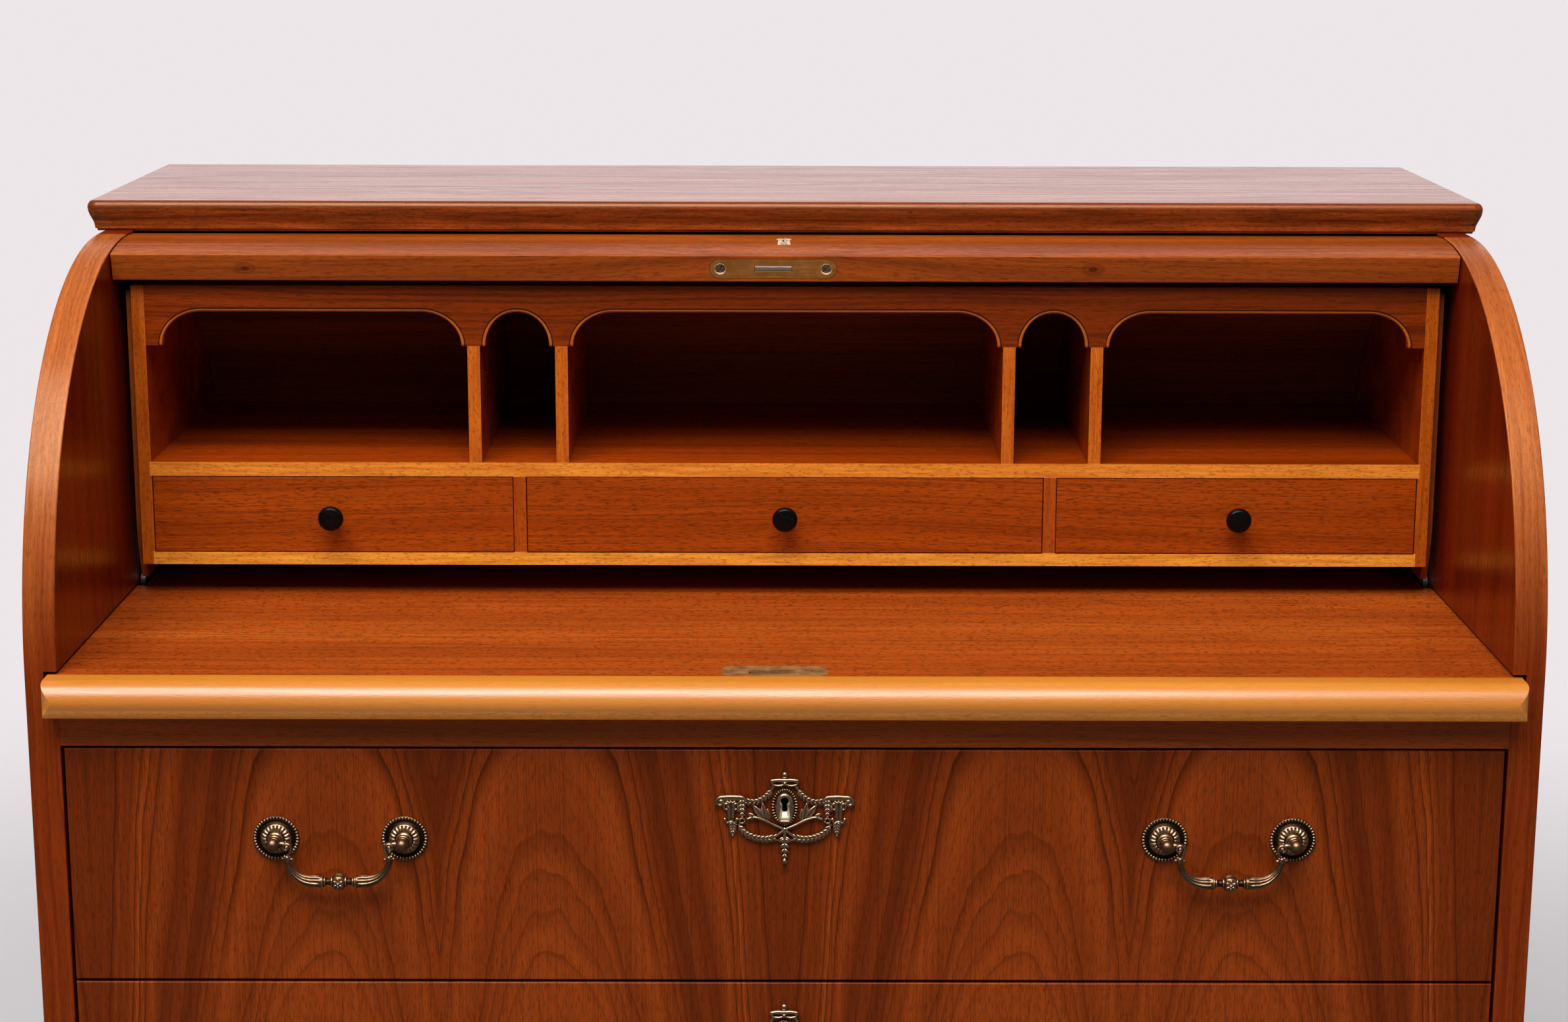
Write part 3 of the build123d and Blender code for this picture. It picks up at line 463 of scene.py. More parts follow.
def boltFinish(name, s):
    # Steel whose tone changes up the bolt's end, u = z cos tip - y sin tip: painted shade in dark bands and a painted
    # highlight along the upper edge.
    finish = Finish(name, s["rough"], metallic=s["metal"])
    x, y, z = finish.place()
    tip = radians(s["angle"])
    up = z * np.cos(tip) - y * np.sin(tip)
    scratch = finish.noise((x, y, z), s["brush"], detail=3, rough=0.7)
    finish.set("Base Color", (up + scratch * 0.8).span(*s["ends"]).ramp(*s["tones"]))
    finish.bump(scratch, 0.00003)
    return finish.material


knobSettings = {"black": (0.0015, 0.0012, 0.0012), "dust": (0.005, 0.004, 0.004), "rough": (0.24, 0.38), "mirror": 0.16}


def knobFinish(name, s):
    # Black gloss with faint dust specks.
    finish = Finish(name, mirror=s["mirror"])
    speck = finish.noise(finish.place(), (0.9,) * 3, detail=3)
    finish.set("Base Color", speck.ramp((0.45, s["black"]), (0.75, s["dust"])))
    finish.set("Roughness", speck.span(0.3, 0.7, *s["rough"]))
    return finish.material


boneSettings = {
    "brown": (0.55, 0.38, 0.25), "cream": (0.78, 0.60, 0.44), "worn": (0.06, 0.03, 0.015), "rough": 0.38,
    "keyholeX": -0.6, "wornReach": (1.0, 3.6),
}


def boneFinish(name, s):
    # Cream plate, browner in streaks along its length, with a worn, dark patch round the keyhole.
    finish = Finish(name, s["rough"])
    x, y, z = finish.place()
    streak = finish.noise((x, y, z), (0.9, 0.12, 0.12), detail=3)
    tone = streak.ramp((0.3, s["brown"]), (0.6, s["cream"]))
    patch = finish.noise((x, y, z), (0.5,) * 3).span(0.5, 0.6)
    near = abs(x - s["keyholeX"]).span(*s["wornReach"], 1.0, 0.0)
    finish.set("Base Color", finish.mix(near * patch, tone, s["worn"]))
    return finish.material


feltSettings = {"dark": (0.02, 0.017, 0.015), "light": (0.06, 0.05, 0.045), "rough": 0.8, "nap": 0.0002}


def feltFinish(name, s):
    # Dark felt with a coarse nap.
    finish = Finish(name, s["rough"])
    nap = finish.noise(finish.place(), (2.0,) * 3, detail=3)
    finish.set("Base Color", nap.ramp((0.3, s["dark"]), (0.7, s["light"])))
    finish.bump(nap, s["nap"])
    return finish.material


finishes = {name: woodFinish(name + "Finish", settings) for name, settings in woods.items()}
finishes.update({name: metalFinish(name + "Finish", settings) for name, settings in metals.items()})
for name, maker, settings in (
        ("antique_brass", brassFinish, brassSettings), ("drawer_veneer", flameFinish, flameSettings),
        ("bolt_steel", boltFinish, boltSettings), ("knob_black", knobFinish, knobSettings),
        ("bone_plate", boneFinish, boneSettings), ("glide_felt", feltFinish, feltSettings)):
    finishes[name] = maker(name + "Finish", settings)

for entry in frame["record"]["subparts"]:
    mesh = nodes[entry["node"]].data
    mesh.materials.clear()
    mesh.materials.append(finishes[entry["material_slot"]])
print("finishes set:", len(finishes))


# Surfaces worked out with numpy; every form is (points, faces) in millimetres

def gridFaces(rows, columns, capStart=True, capEnd=True):
    # Quads between neighbouring rings of a grid whose columns close on themselves, with flat end caps.
    a = np.arange(rows - 1)[:, None] * columns + np.arange(columns)[None, :]
    b = np.arange(rows - 1)[:, None] * columns + (np.arange(columns)[None, :] + 1) % columns
    faces = np.stack([a, b, b + columns, a + columns], axis=-1).reshape(-1, 4).tolist()
    if capStart:
        faces.append(list(range(columns - 1, -1, -1)))
    if capEnd:
        faces.append(list(range((rows - 1) * columns, rows * columns)))
    return faces


def turnedOver(faces):
    # Each face's corners the other way round, so that its other side is outside.
    return [face[::-1] for face in faces]


def onceRound(count):
    # Even angles of one turn.
    return np.linspace(0, 2 * pi, count, endpoint=False)


def ovalPoints(angle, wide, tall):
    # Flat points (wide cos a, tall sin a).
    return np.stack([wide * np.cos(angle), tall * np.sin(angle)], axis=1)


def setAt(flat, y):
    # Flat points (x, z) at one y.
    return np.stack([flat[:, 0], np.full(len(flat), y), flat[:, 1]], axis=1)


def turnedFlat(points, turn):
    # Points turned in the x-z plane: (x cos t - z sin t, y, x sin t + z cos t).
    x, y, z = points[..., 0], points[..., 1], points[..., 2]
    return np.stack([x * np.cos(turn) - z * np.sin(turn), y, x * np.sin(turn) + z * np.cos(turn)], axis=-1)


def turnedForm(profile, sides, lift):
    # A profile of (radius, height) turned about the height axis: x = r cos a, z = r sin a, y = -h.
    # lift adds a height that depends on angle and radius, for petals.
    angle = onceRound(sides)
    radius = np.repeat(profile[:, :1], sides, axis=1)
    height = np.repeat(profile[:, 1:], sides, axis=1) + lift(angle[None, :], radius)
    points = np.stack([radius * np.cos(angle), -height, radius * np.sin(angle)], axis=-1).reshape(-1, 3)
    return points, gridFaces(len(profile), sides)


def sweptForm(path, wide, thick, up=(0.0, -1.0, 0.0), sides=14, swell=None):
    # An ellipse carried along a path: path + wide cos a * side + thick sin a * up, with side = path direction x up.
    # swell scales the ellipse by angle and place, for flutes and leaf ribs.
    path = np.asarray(path, float)
    wide = np.broadcast_to(np.asarray(wide, float), len(path))
    thick = np.broadcast_to(np.asarray(thick, float), len(path))
    direction = np.gradient(path, axis=0)
    direction /= np.linalg.norm(direction, axis=1, keepdims=True)
    side = np.cross(direction, np.asarray(up, float))
    side /= np.linalg.norm(side, axis=1, keepdims=True)
    top = np.cross(side, direction)
    angle = onceRound(sides)
    place = np.linspace(0, 1, len(path))[:, None]
    scale = np.ones((len(path), sides)) if swell is None else swell(angle[None, :], place)
    points = (path[:, None, :] + (wide[:, None] * np.cos(angle) * scale)[..., None] * side[:, None, :]
              + (thick[:, None] * np.sin(angle) * scale)[..., None] * top[:, None, :])
    return points.reshape(-1, 3), turnedOver(gridFaces(len(path), sides))


def ballForms(centres, radii, rings=7, sides=10, turn=0.0):
    # Many ellipsoids at once: centre + radii * (sin t cos a, cos t, sin t sin a), each turned in the x-z plane.
    centres = np.asarray(centres, float)
    radii = np.broadcast_to(np.asarray(radii, float), centres.shape)
    turn = np.broadcast_to(np.asarray(turn, float), len(centres))[:, None, None]
    tilt = np.linspace(0.16, pi - 0.16, rings)[:, None]
    angle = onceRound(sides)[None, :]
    unit = np.stack(np.broadcast_arrays(
        np.sin(tilt) * np.cos(angle), np.cos(tilt), np.sin(tilt) * np.sin(angle)), axis=-1)
    points = centres[:, None, None, :] + turnedFlat(radii[:, None, None, :] * unit[None], turn)
    one = gridFaces(rings, sides)
    starts = range(0, len(centres) * rings * sides, rings * sides)
    return points.reshape(-1, 3), [[corner + start for corner in face] for start in starts for face in one]


def joinForms(*forms):
    # Points one after another, with each form's faces counted on from those before it.
    points = np.concatenate([form[0] for form in forms])
    starts = np.cumsum([0] + [len(form[0]) for form in forms[:-1]])
    faces = [[corner + start for corner in face] for form, start in zip(forms, starts.tolist()) for face in form[1]]
    return points, faces


def movedForm(form, x, y, z):
    # The same form with x, y and z added to its points.
    return form[0] + np.array([x, y, z]), form[1]


def mirroredForm(form):
    # The same form with x turned over, and its faces turned to keep their outsides out.
    return form[0] * np.array([-1.0, 1.0, 1.0]), turnedOver(form[1])


def curvePath(points, count):
    # A smooth path through a few points: a cubic through them, even in chord length.
    points = np.asarray(points, float)
    steps = np.concatenate([[0], np.cumsum(np.linalg.norm(np.diff(points, axis=0), axis=1))])
    slopes = np.gradient(points, steps, axis=0)
    at = np.linspace(0, steps[-1], count)
    index = np.clip(np.searchsorted(steps, at, side="right") - 1, 0, len(points) - 2)
    run = (steps[index + 1] - steps[index])[:, None]
    t = (at - steps[index])[:, None] / run
    return ((2 * t ** 3 - 3 * t ** 2 + 1) * points[index] + (t ** 3 - 2 * t ** 2 + t) * run * slopes[index]
            + (-2 * t ** 3 + 3 * t ** 2) * points[index + 1] + (t ** 3 - t ** 2) * run * slopes[index + 1])


def wornRidges(mesh):
    # Wear at each vertex: half, plus the mean fall of its edges below its tangent plane; ridges score high.
    count, lines = len(mesh.vertices), len(mesh.edges)
    points, normals, ends = np.empty(count * 3), np.empty(count * 3), np.empty(lines * 2, int)
    mesh.vertices.foreach_get("co", points)
    mesh.vertex_normals.foreach_get("vector", normals)
    mesh.edges.foreach_get("vertices", ends)
    points, normals, ends = points.reshape(-1, 3), normals.reshape(-1, 3), ends.reshape(-1, 2)
    a, b = ends[:, 0], ends[:, 1]
    step = points[b] - points[a]
    step /= np.maximum(np.linalg.norm(step, axis=1, keepdims=True), 1e-9)
    fall = np.bincount(a, -(step * normals[a]).sum(1), count) + np.bincount(b, (step * normals[b]).sum(1), count)
    met = np.bincount(ends.ravel(), minlength=count)
    wear = np.clip(0.5 + 2.4 * fall / np.maximum(met, 1), 0, 1)
    mesh.attributes.new("wear", "FLOAT", "POINT").data.foreach_set("value", wear)


def makePiece(name, form, finish, body, replaced=()):
    # Points in millimetres become a smooth-shaded mesh in metres that rides on a body.
    points, faces = form
    mesh = bpy.data.meshes.new(name)
    mesh.from_pydata((points * 0.001).tolist(), [], faces)
    mesh.polygons.foreach_set("use_smooth", np.ones(len(mesh.polygons), bool))
    wornRidges(mesh)
    mesh.materials.append(finish)
    piece = bpy.data.objects.new(name, mesh)
    bpy.context.scene.collection.objects.link(piece)
    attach(piece, body)
    if replaced:
        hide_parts(*replaced)


# Floor and light

studio = {
    "backdrop": (0.845, 0.795, 0.82), "ambient": 0.18, "mirrorBehind": 1.66, "mirrorFront": 0.16,
    "floorRadius": 2.6, "floor": (0.72, 0.70, 0.71), "floorBounce": 0.7, "floorMirror": 0.12, "floorGlow": 0.13,
    "key": {"place": (-0.42, -1.68, 3.34), "aim": (0.0, -0.2, 0.8), "size": (2.6, 1.9), "power": 148},
}


def softLight(name, s):
    # A rectangular lamp at its place, turned so that it faces its aim.
    data = bpy.data.lights.new(name, "AREA")
    data.shape = "RECTANGLE"
    data.size, data.size_y = s["size"]
    data.energy = s["power"]
    lamp = bpy.data.objects.new(name, data)
    bpy.context.scene.collection.objects.link(lamp)
    look = np.array(s["aim"]) - np.array(s["place"])
    back = -look / np.linalg.norm(look)
    right = np.cross((0.0, 0.0, 1.0), back)
    right /= np.linalg.norm(right)
    up = np.cross(back, right)
    turned = np.eye(4)
    turned[:3, :3] = np.stack([right, up, back], axis=1)
    turned[:3, 3] = s["place"]
    lamp.matrix_world = Matrix(turned.tolist())


def paleWorld(s):
    # Camera and see-through rays meet the pale backdrop, other rays get the weaker ambient light.
    # Mirror rays meet the backdrop behind the desk and a dim room in front of it.
    world = bpy.data.worlds.new("studioWorld")
    bpy.context.scene.world = world
    world.use_nodes = True
    sky = Shading(world.node_tree)
    rays = sky.add("LightPath")
    behind = Wire(sky, sky.add("SeparateXYZ", {0: sky.wire("TexCoord", output="Generated")}).outputs[1])
    strength = behind.span(0.8, 0.97, s["mirrorFront"], s["mirrorBehind"])
    seen = sky.wire("Background", {0: s["backdrop"], 1: 1.0})
    shade = sky.wire("Background", {0: (1.0, 0.985, 0.97), 1: s["ambient"]})
    mirrored = sky.wire("Background", {0: s["backdrop"], 1: strength})
    for ray, met in (("Is Glossy Ray", mirrored), ("Is Transmission Ray", seen), ("Is Camera Ray", seen)):
        shade = sky.wire("MixShader", {0: Wire(sky, rays.outputs[ray]), 1: shade, 2: met})
    sky.add("OutputWorld", {0: shade})


def paleFloor(s):
    # A disc of rings and spokes: x = r cos a, y = r sin a. It fades out towards its rim.
    rings, spokes = 24, 96
    ring, spoke = np.meshgrid(np.linspace(0.02, s["floorRadius"], rings), onceRound(spokes), indexing="ij")
    points = np.stack([ring * np.cos(spoke), ring * np.sin(spoke), np.zeros_like(ring)], axis=-1).reshape(-1, 3)
    mesh = bpy.data.meshes.new("floor")
    mesh.from_pydata(points.tolist(), [], turnedOver(gridFaces(rings, spokes, capEnd=False)))
    floor = bpy.data.objects.new("floor", mesh)
    bpy.context.scene.collection.objects.link(floor)
    finish = Finish("floorFinish", 0.85)
    x, y, z = finish.place()
    rim = (x ** 2.0 + y ** 2.0).root().span(s["floorRadius"] * 450, s["floorRadius"] * 980, 1.0, 0.0)
    speck = finish.noise((x, y, z), (0.02,) * 3, detail=3)
    pale = speck.ramp((0.3, darker(s["floor"], 0.98)), (0.7, s["floor"]))
    rays = finish.add("LightPath")
    seen, glossy = [Wire(finish, rays.outputs[ray]) for ray in ("Is Camera Ray", "Is Glossy Ray")]
    unseen = finish.mix(glossy, darker(s["floor"], s["floorBounce"]), darker(s["floor"], s["floorMirror"]))
    finish.set("Base Color", finish.mix(seen, unseen, pale))
    finish.set("Emission Color", s["backdrop"])
    finish.set("Emission Strength", seen * s["floorGlow"])
    finish.set("Alpha", rim)
    mesh.materials.append(finish.material)


paleWorld(studio)
paleFloor(studio)
softLight("keyLight", studio["key"])
print("studio lit")


# Handles: beaded rosettes and fluted bails

rosetteSettings = {
    "profile": (
        (13.4, 0.0), (13.7, 0.3), (13.6, 0.7), (13.2, 0.9), (12.0, 0.8), (11.6, 0.6), (11.2, 0.6), (10.7, 0.7),
        (10.2, 0.9), (9.7, 1.2), (9.3, 1.6), (9.0, 2.1), (8.8, 2.4), (8.5, 2.4), (7.8, 2.8), (7.0, 3.2), (6.2, 3.5),
        (5.6, 3.7), (5.3, 3.4), (5.1, 3.4), (4.9, 4.2), (4.7, 4.9), (4.4, 5.2), (3.8, 5.4), (3.6, 5.8), (3.6, 7.2),
        (4.0, 7.5), (4.3, 8.1), (4.0, 8.7), (3.5, 8.9), (3.4, 9.6), (3.4, 11.2)),
    "ballHeight": 13.2, "ballRadius": 4.0, "petals": 20, "petalLift": 0.85, "petalZone": (5.4, 8.7),
    "beads": 42, "beadRing": 12.6, "beadHeight": 0.9, "beadRadii": (1.3, 1.0, 0.86), "sides": 200,
}


def rosetteForm(s):
    # Turned plate: a dished ring, a boss whose height swells in petals |cos(n a / 2)|, a collared post and a ball.
    low, high = s["petalZone"]

    def petals(angle, radius):
        zone = np.clip((radius - low) / 0.9, 0, 1) * np.clip((high - radius) / 0.5, 0, 1)
        ridge = np.abs(np.cos(angle * s["petals"] / 2)) ** 0.7
        return zone * s["petalLift"] * (ridge - 0.45)

    rise = np.linspace(-0.47 * pi + 0.56, 0.5 * pi - 0.02, 16)
    ball = ovalPoints(rise, s["ballRadius"], s["ballRadius"]) + (0.0, s["ballHeight"])
    plate = turnedForm(np.concatenate([s["profile"], ball]), s["sides"], petals)
    turn = onceRound(s["beads"])
    centres = setAt(ovalPoints(turn, s["beadRing"], s["beadRing"]), -s["beadHeight"])
    return joinForms(plate, ballForms(centres, s["beadRadii"], turn=turn))


bailSettings = {
    "gripZ": -23.3,
    "arm": ((29.9, 0.0, -8.2), (29.9, 0.0, -11.2), (28.6, 0.0, -14.9), (25.9, 0.0, -18.7), (22.1, 0.0, -21.6),
            (17.7, 0.0, -23.0), (13.4, 0.0, -23.3), (9.9, 0.0, -23.3)),
    "armRadius": (1.9, 1.8, 2.0, 2.4, 2.9, 3.4, 3.8, 3.6), "flutes": 9, "fluteDepth": 0.2,
    "bar": ((10.3, 3.3), (9.9, 3.9), (9.5, 3.9), (9.1, 3.1), (8.8, 2.5), (8.5, 3.1), (8.1, 3.1), (7.8, 2.4),
            (7.2, 1.95), (5.2, 1.9), (4.7, 2.2), (4.5, 3.1), (4.1, 3.3), (3.7, 3.0), (3.4, 3.4), (2.9, 4.1),
            (2.1, 4.7), (1.1, 5.0), (0.0, 5.1)),
    "lobes": 8, "lobeDepth": 0.05,
    "scrollCentre": (30.3, -2.0), "scrollRadii": (0.6, 2.6), "scrollTurns": 1.3, "scrollWidth": 1.05,
    "scrollDepth": 1.9, "scrollEnd": ((28.4, 0.0, -5.8), (29.8, 0.0, -9.2)), "eyeRadii": (1.1, 2.2, 1.1),
    "pinEnds": (31.0, 36.2), "pinRadius": 1.4,
    "leafCentres": ((27.9, -0.4, -9.3), (32.2, -0.4, -8.9), (30.0, -1.5, -8.9), (30.0, 1.4, -9.0), (28.6, -1.2, -8.0),
                    (31.4, -1.2, -7.8)),
    "leafRadii": ((1.7, 1.1, 0.95), (1.7, 1.1, 0.95), (1.4, 0.9, 1.9), (1.4, 0.8, 1.7), (1.0, 0.7, 1.2),
                  (1.0, 0.7, 1.2)),
    "petals": 6, "petalRing": (1.9, 2.3), "petalHeight": 4.35, "petalRadii": (1.5, 1.1, 0.9),
    "heartHeight": 5.0, "heartRadius": 0.95,
}


def bailForm(s):
    # Half a bail and its mirror image, about a pivot line along x through the origin.
    arm = curvePath(s["arm"], 64)
    radius = np.interp(np.linspace(0, 1, 64), np.linspace(0, 1, len(s["armRadius"])), s["armRadius"])

    def flutes(angle, place):
        depth = s["fluteDepth"] * np.clip((place - 0.16) / 0.12, 0, 1) * np.clip((0.97 - place) / 0.06, 0, 1)
        return 1 - depth * (0.5 + 0.5 * np.cos(s["flutes"] * angle)) ** 2

    grip = sweptForm(arm, radius, radius, sides=72, swell=flutes)
    # Scroll: an Archimedean spiral r = a + b t that leaves the centre and runs into the arm.
    t = np.linspace(0, 1, 60)
    inner, outer = s["scrollRadii"]
    reach = inner + (outer - inner) * t
    x, z = s["scrollCentre"]
    curl = setAt(ovalPoints(pi - 2 * pi * s["scrollTurns"] * (1 - t), reach, reach) + (x, z), 0.0)
    tail = curvePath(((x - outer, 0.0, z - 0.6), *s["scrollEnd"]), 14)
    scroll = sweptForm(np.concatenate([curl, tail]), s["scrollWidth"], s["scrollDepth"], sides=18)
    eye = ballForms(((x, 0.0, z),), s["eyeRadii"], 9, 14)
    start, end = s["pinEnds"]
    pinPath = ((start, 0.0, -1.0), (start + 0.8, 0.0, -0.2), (start + 1.8, 0.0, 0.0), (end, 0.0, 0.0))
    pin = sweptForm(pinPath, s["pinRadius"], s["pinRadius"], sides=16)
    half = joinForms(grip, scroll, eye, pin, ballForms(s["leafCentres"], s["leafRadii"], 9, 12))
    # Knop and necks: radius along x, with lobes (1 + d cos n a) on the swelling.
    bar = np.array(s["bar"])
    along = np.concatenate([bar, bar[-2::-1] * (-1, 1)])
    line = np.stack([along[:, 0], np.zeros(len(along)), np.full(len(along), s["gripZ"])], axis=1)

    def lobes(angle, place):
        middle = np.clip((3.5 - np.abs(along[:, :1])) / 1.2, 0, 1)
        return 1 + middle * s["lobeDepth"] * np.cos(s["lobes"] * angle)

    knop = sweptForm(line, along[:, 1], along[:, 1], sides=72, swell=lobes)
    petal = onceRound(s["petals"]) + 0.5
    centres = setAt(ovalPoints(petal, *s["petalRing"]) + (0.0, s["gripZ"]), -s["petalHeight"])
    flower = ballForms(centres, s["petalRadii"], 8, 12, turn=petal)
    heart = ballForms(((0.0, -s["heartHeight"], s["gripZ"]),), s["heartRadius"], 8, 12)
    return joinForms(half, mirroredForm(half), knop, flower, heart)


brass = finishes["antique_brass"]
oneRosette = rosetteForm(rosetteSettings)
oneBail = bailForm(bailSettings)
for number, height in enumerate(desk["handleZ"], 1):
    spots = [side * desk["handleX"] + end * desk["postSpacing"] / 2 for side in (-1, 1) for end in (-1, 1)]
    placed = joinForms(*[movedForm(oneRosette, spot, desk["front"], height) for spot in spots])
    body = f"drawer_{number}"
    makePiece(f"drawer{number}Rosettes", placed, brass, body, (f"{body}_rosettes",))
    for hand, side in (("left", -1), ("right", 1)):
        hung = movedForm(oneBail, side * desk["handleX"], desk["front"] - desk["pivotReach"], height)
        node = f"{body}_bail_{hand}"
        makePiece(f"drawer{number}Bail{hand.title()}", hung, brass, node, (node,))
print("handles made")


# Keyhole plates: bow, laurel swags, scroll capitals, crossed branches and pendants

plateSettings = {
    "oval": (7.9, 11.4), "ovalHeight": 3.3, "ovalBeads": 36, "beadRadii": (1.3, 1.05, 0.52), "drop": 0.8,
    "shaft": {"x": -31.8, "ends": (3.4, -8.4), "height": 1.4, "thick": 1.4, "groove": 0.3,
              "steps": (0, 0.15, 0.4, 0.7, 0.9, 1), "halfWidths": (3.7, 3.8, 2.9, 2.1, 1.8, 2.5)},
    "side": {
        # Path, leaf pairs, leaf length, half width and spread.
        "laurels": (
            (((-7.6, 10.6), (-11.6, 6.4), (-16.6, 3.6), (-22.6, 3.4)), 8, 4.8, 0.78, 0.62),
            (((-27.0, -11.2), (-24.2, -15.0), (-18.6, -18.3), (-12.2, -19.6), (-6.6, -19.0)), 10, 5.4, 0.86, 0.58)),
        # Path, half width, thickness, height and steps: branch, capital and its filling, foot, links and ribbon.
        "strips": (
            (((-22.4, -7.4), (-18.6, -6.2), (-13.4, -7.4), (-7.0, -10.6), (-1.0, -13.4), (3.4, -16.4), (6.4, -19.0)),
             0.95, 1.2, 1.6, 60),
            (((-22.8, 4.4), (-24.6, 6.0), (-29.0, 6.6), (-35.0, 6.5), (-38.6, 6.0), (-40.2, 4.4), (-39.9, 2.3),
              (-38.0, 1.5), (-36.7, 2.8), (-37.4, 4.2), (-38.4, 3.8)), 1.15, 1.5, 1.8, 90, 16),
            (((-24.6, 4.8), (-30.0, 5.0), (-36.4, 4.8)), 1.2, 1.2, 1.3, 20),
            (((-35.4, -7.4), (-34.2, -9.6), (-31.8, -8.8), (-29.4, -9.6), (-28.2, -7.4)), 0.9, 1.2, 1.6, 30),
            (((-26.0, -9.4), (-27.4, -11.4)), 0.9, 1.1, 1.3, 8),
            (((-28.2, -2.0), (-26.0, -1.0), (-24.0, 1.6)), 1.2, 1.1, 1.1, 16),
            (((-6.0, 14.2), (-7.4, 11.8), (-8.6, 9.6)), 1.05, 1.1, 1.5, 16)),
        # Base, tip, half width, lift, thickness and hollow.
        "leaves": (
            ((-11.2, -8.0), (-19.0, 1.6), 1.9, 1.5, 1.3, 0.75), ((-11.4, -7.2), (-13.2, 3.0), 1.6, 1.5, 1.2, 0.75),
            ((-9.6, -8.8), (-10.2, -0.8), 1.3, 1.3, 1.0, 0.7), ((-16.4, -6.6), (-22.0, -3.6), 1.3, 1.4, 1.0, 0.6)),
        # Centre, radii, half width, thickness and height.
        "loops": (
            ((-34.6, 0.6), (1.3, 1.8), 0.6, 1.0, 1.9), ((-29.0, 0.6), (1.3, 1.8), 0.6, 1.0, 1.9),
            ((-25.2, -8.4), (1.5, 1.5), 0.7, 1.0, 1.4), ((-3.9, 15.0), (3.6, 1.5), 0.75, 1.1, 1.8)),
        # Centres, radii, rings and sides.
        "balls": (
            (((-38.3, -1.5, 3.9),), (2.4, 1.3, 2.4), 10, 18),
            (((-33.8, -1.9, 3.4), (-31.8, -1.9, 3.4), (-29.8, -1.9, 3.4)), (0.85, 1.0, 0.85), 8, 10),
            (((-35.4, -1.6, -7.4), (-28.2, -1.6, -7.4)), (1.2, 1.3, 1.2), 9, 12)),
        # Place, top, bottom and half width.
        "drops": ((-30.8, -9.6, -17.6, 2.5), (-25.2, 4.0, -6.4, 2.5)),
    },
    "middle": {
        "strips": (
            (((-7.8, 16.5), (-4.0, 17.0), (0.0, 16.9), (4.0, 17.0), (7.8, 16.5)), 1.05, 1.3, 1.8, 40),
            (((0.0, -12.6), (0.0, -20.0)), 1.2, 1.3, 1.5, 10)),
        "leaves": (((0.0, -18.4), (-4.2, -21.4), 1.2), ((0.0, -18.4), (4.2, -21.4), 1.2)),
        "balls": (
            (((0.0, -1.6, 20.2), (0.0, -1.5, 18.2), (0.0, -1.9, 14.8), (-7.7, -1.6, 16.2), (7.7, -1.6, 16.2)),
             ((2.0, 1.7, 1.8), (1.7, 1.4, 1.0), (1.3, 1.6, 1.5), (1.2, 1.3, 1.2), (1.2, 1.3, 1.2)), 10, 16),
            (((0.0, -1.5, -33.6),), (1.7, 1.5, 1.9), 10, 14)),
        "drops": ((0.0, -19.8, -32.4, 3.2),),
    },
}


def leafForm(base, tip, halfWidth, lift=1.2, thick=1.0, hollow=0.3):
    # A blade from base to tip: its half width follows sin(pi t)^0.75, and a groove runs down its middle.
    t = np.linspace(0.02, 0.98, 11)[:, None]
    flat = np.array(base)[None, :] * (1 - t) + np.array(tip)[None, :] * t
    belly = np.sin(pi * t[:, 0])
    path = np.stack([flat[:, 0], -(lift + 0.7 * belly), flat[:, 1]], axis=1)

    def groove(angle, place):
        return 1 - hollow * np.exp(-((angle - pi / 2) / 0.5) ** 2) * np.sin(pi * place) ** 0.5

    return sweptForm(path, halfWidth * belly ** 0.75, thick * (0.35 + 0.65 * belly), sides=16, swell=groove)


def laurelForm(points, pairs, length, halfWidth, spread):
    # Leaf pairs along a stem: at even steps, two blades turned to either side of the stem's direction.
    path = curvePath(points, 60)
    direction = np.gradient(path, axis=0)
    direction /= np.linalg.norm(direction, axis=1, keepdims=True)
    forms = [sweptForm(setAt(path, -0.6), 0.8, 0.6, sides=10)]
    for index in np.linspace(2, 57, pairs).astype(int):
        base, (dx, dz) = path[index], direction[index]
        for turn in (-spread, spread):
            way = np.array([dx * np.cos(turn) - dz * np.sin(turn), dx * np.sin(turn) + dz * np.cos(turn)])
            forms.append(leafForm(base - 0.2 * length * way, base + 0.8 * length * way, halfWidth, 1.3, 1.05))
    return joinForms(*forms)


def stripForm(points, halfWidth, thick, height, count, sides=14):
    # A rounded strip along a flat path at one height above the drawer.
    return sweptForm(setAt(curvePath(points, count), -height), halfWidth, thick, sides=sides)


def loopForm(centre, radii, halfWidth, thick, height):
    # A closed ribbon round an ellipse.
    path = setAt(ovalPoints(np.linspace(0, 2 * pi, 40), *radii) + centre, -height)
    return sweptForm(path, halfWidth, thick, sides=12)


def dropForm(x, top, bottom, halfWidth):
    # A hanging drop: leaf pairs that shrink downwards, and a ball under them.
    forms = [stripForm(((x, top), (x, bottom)), 0.8, 1.0, 1.2, 8, 10)]
    for step, size in zip(np.linspace(top - 0.6, bottom + 2.2, 4), (1.0, 0.95, 0.85, 0.68)):
        for side in (-1, 1):
            base, tip = (x - side * 0.3, step + 1.3), (x + side * halfWidth * size, step - 1.7 * size)
            forms.append(leafForm(base, tip, 1.1 * size, 1.4, 1.1))
    return joinForms(*forms, ballForms(((x, -1.3, bottom),), (1.1, 1.1, 1.25), 9, 12))


def shaftForm(s):
    # The shaft under a capital: half widths at steps of its length, and a groove down its middle.
    flat = np.stack([np.full(24, s["x"]), np.linspace(*s["ends"], 24)], axis=1)
    across = np.interp(np.linspace(0, 1, 24), s["steps"], s["halfWidths"])

    def groove(angle, place):
        return 1 - s["groove"] * np.exp(-((angle - pi / 2) / 0.35) ** 2)

    return sweptForm(setAt(flat, -s["height"]), across, s["thick"], sides=20, swell=groove)


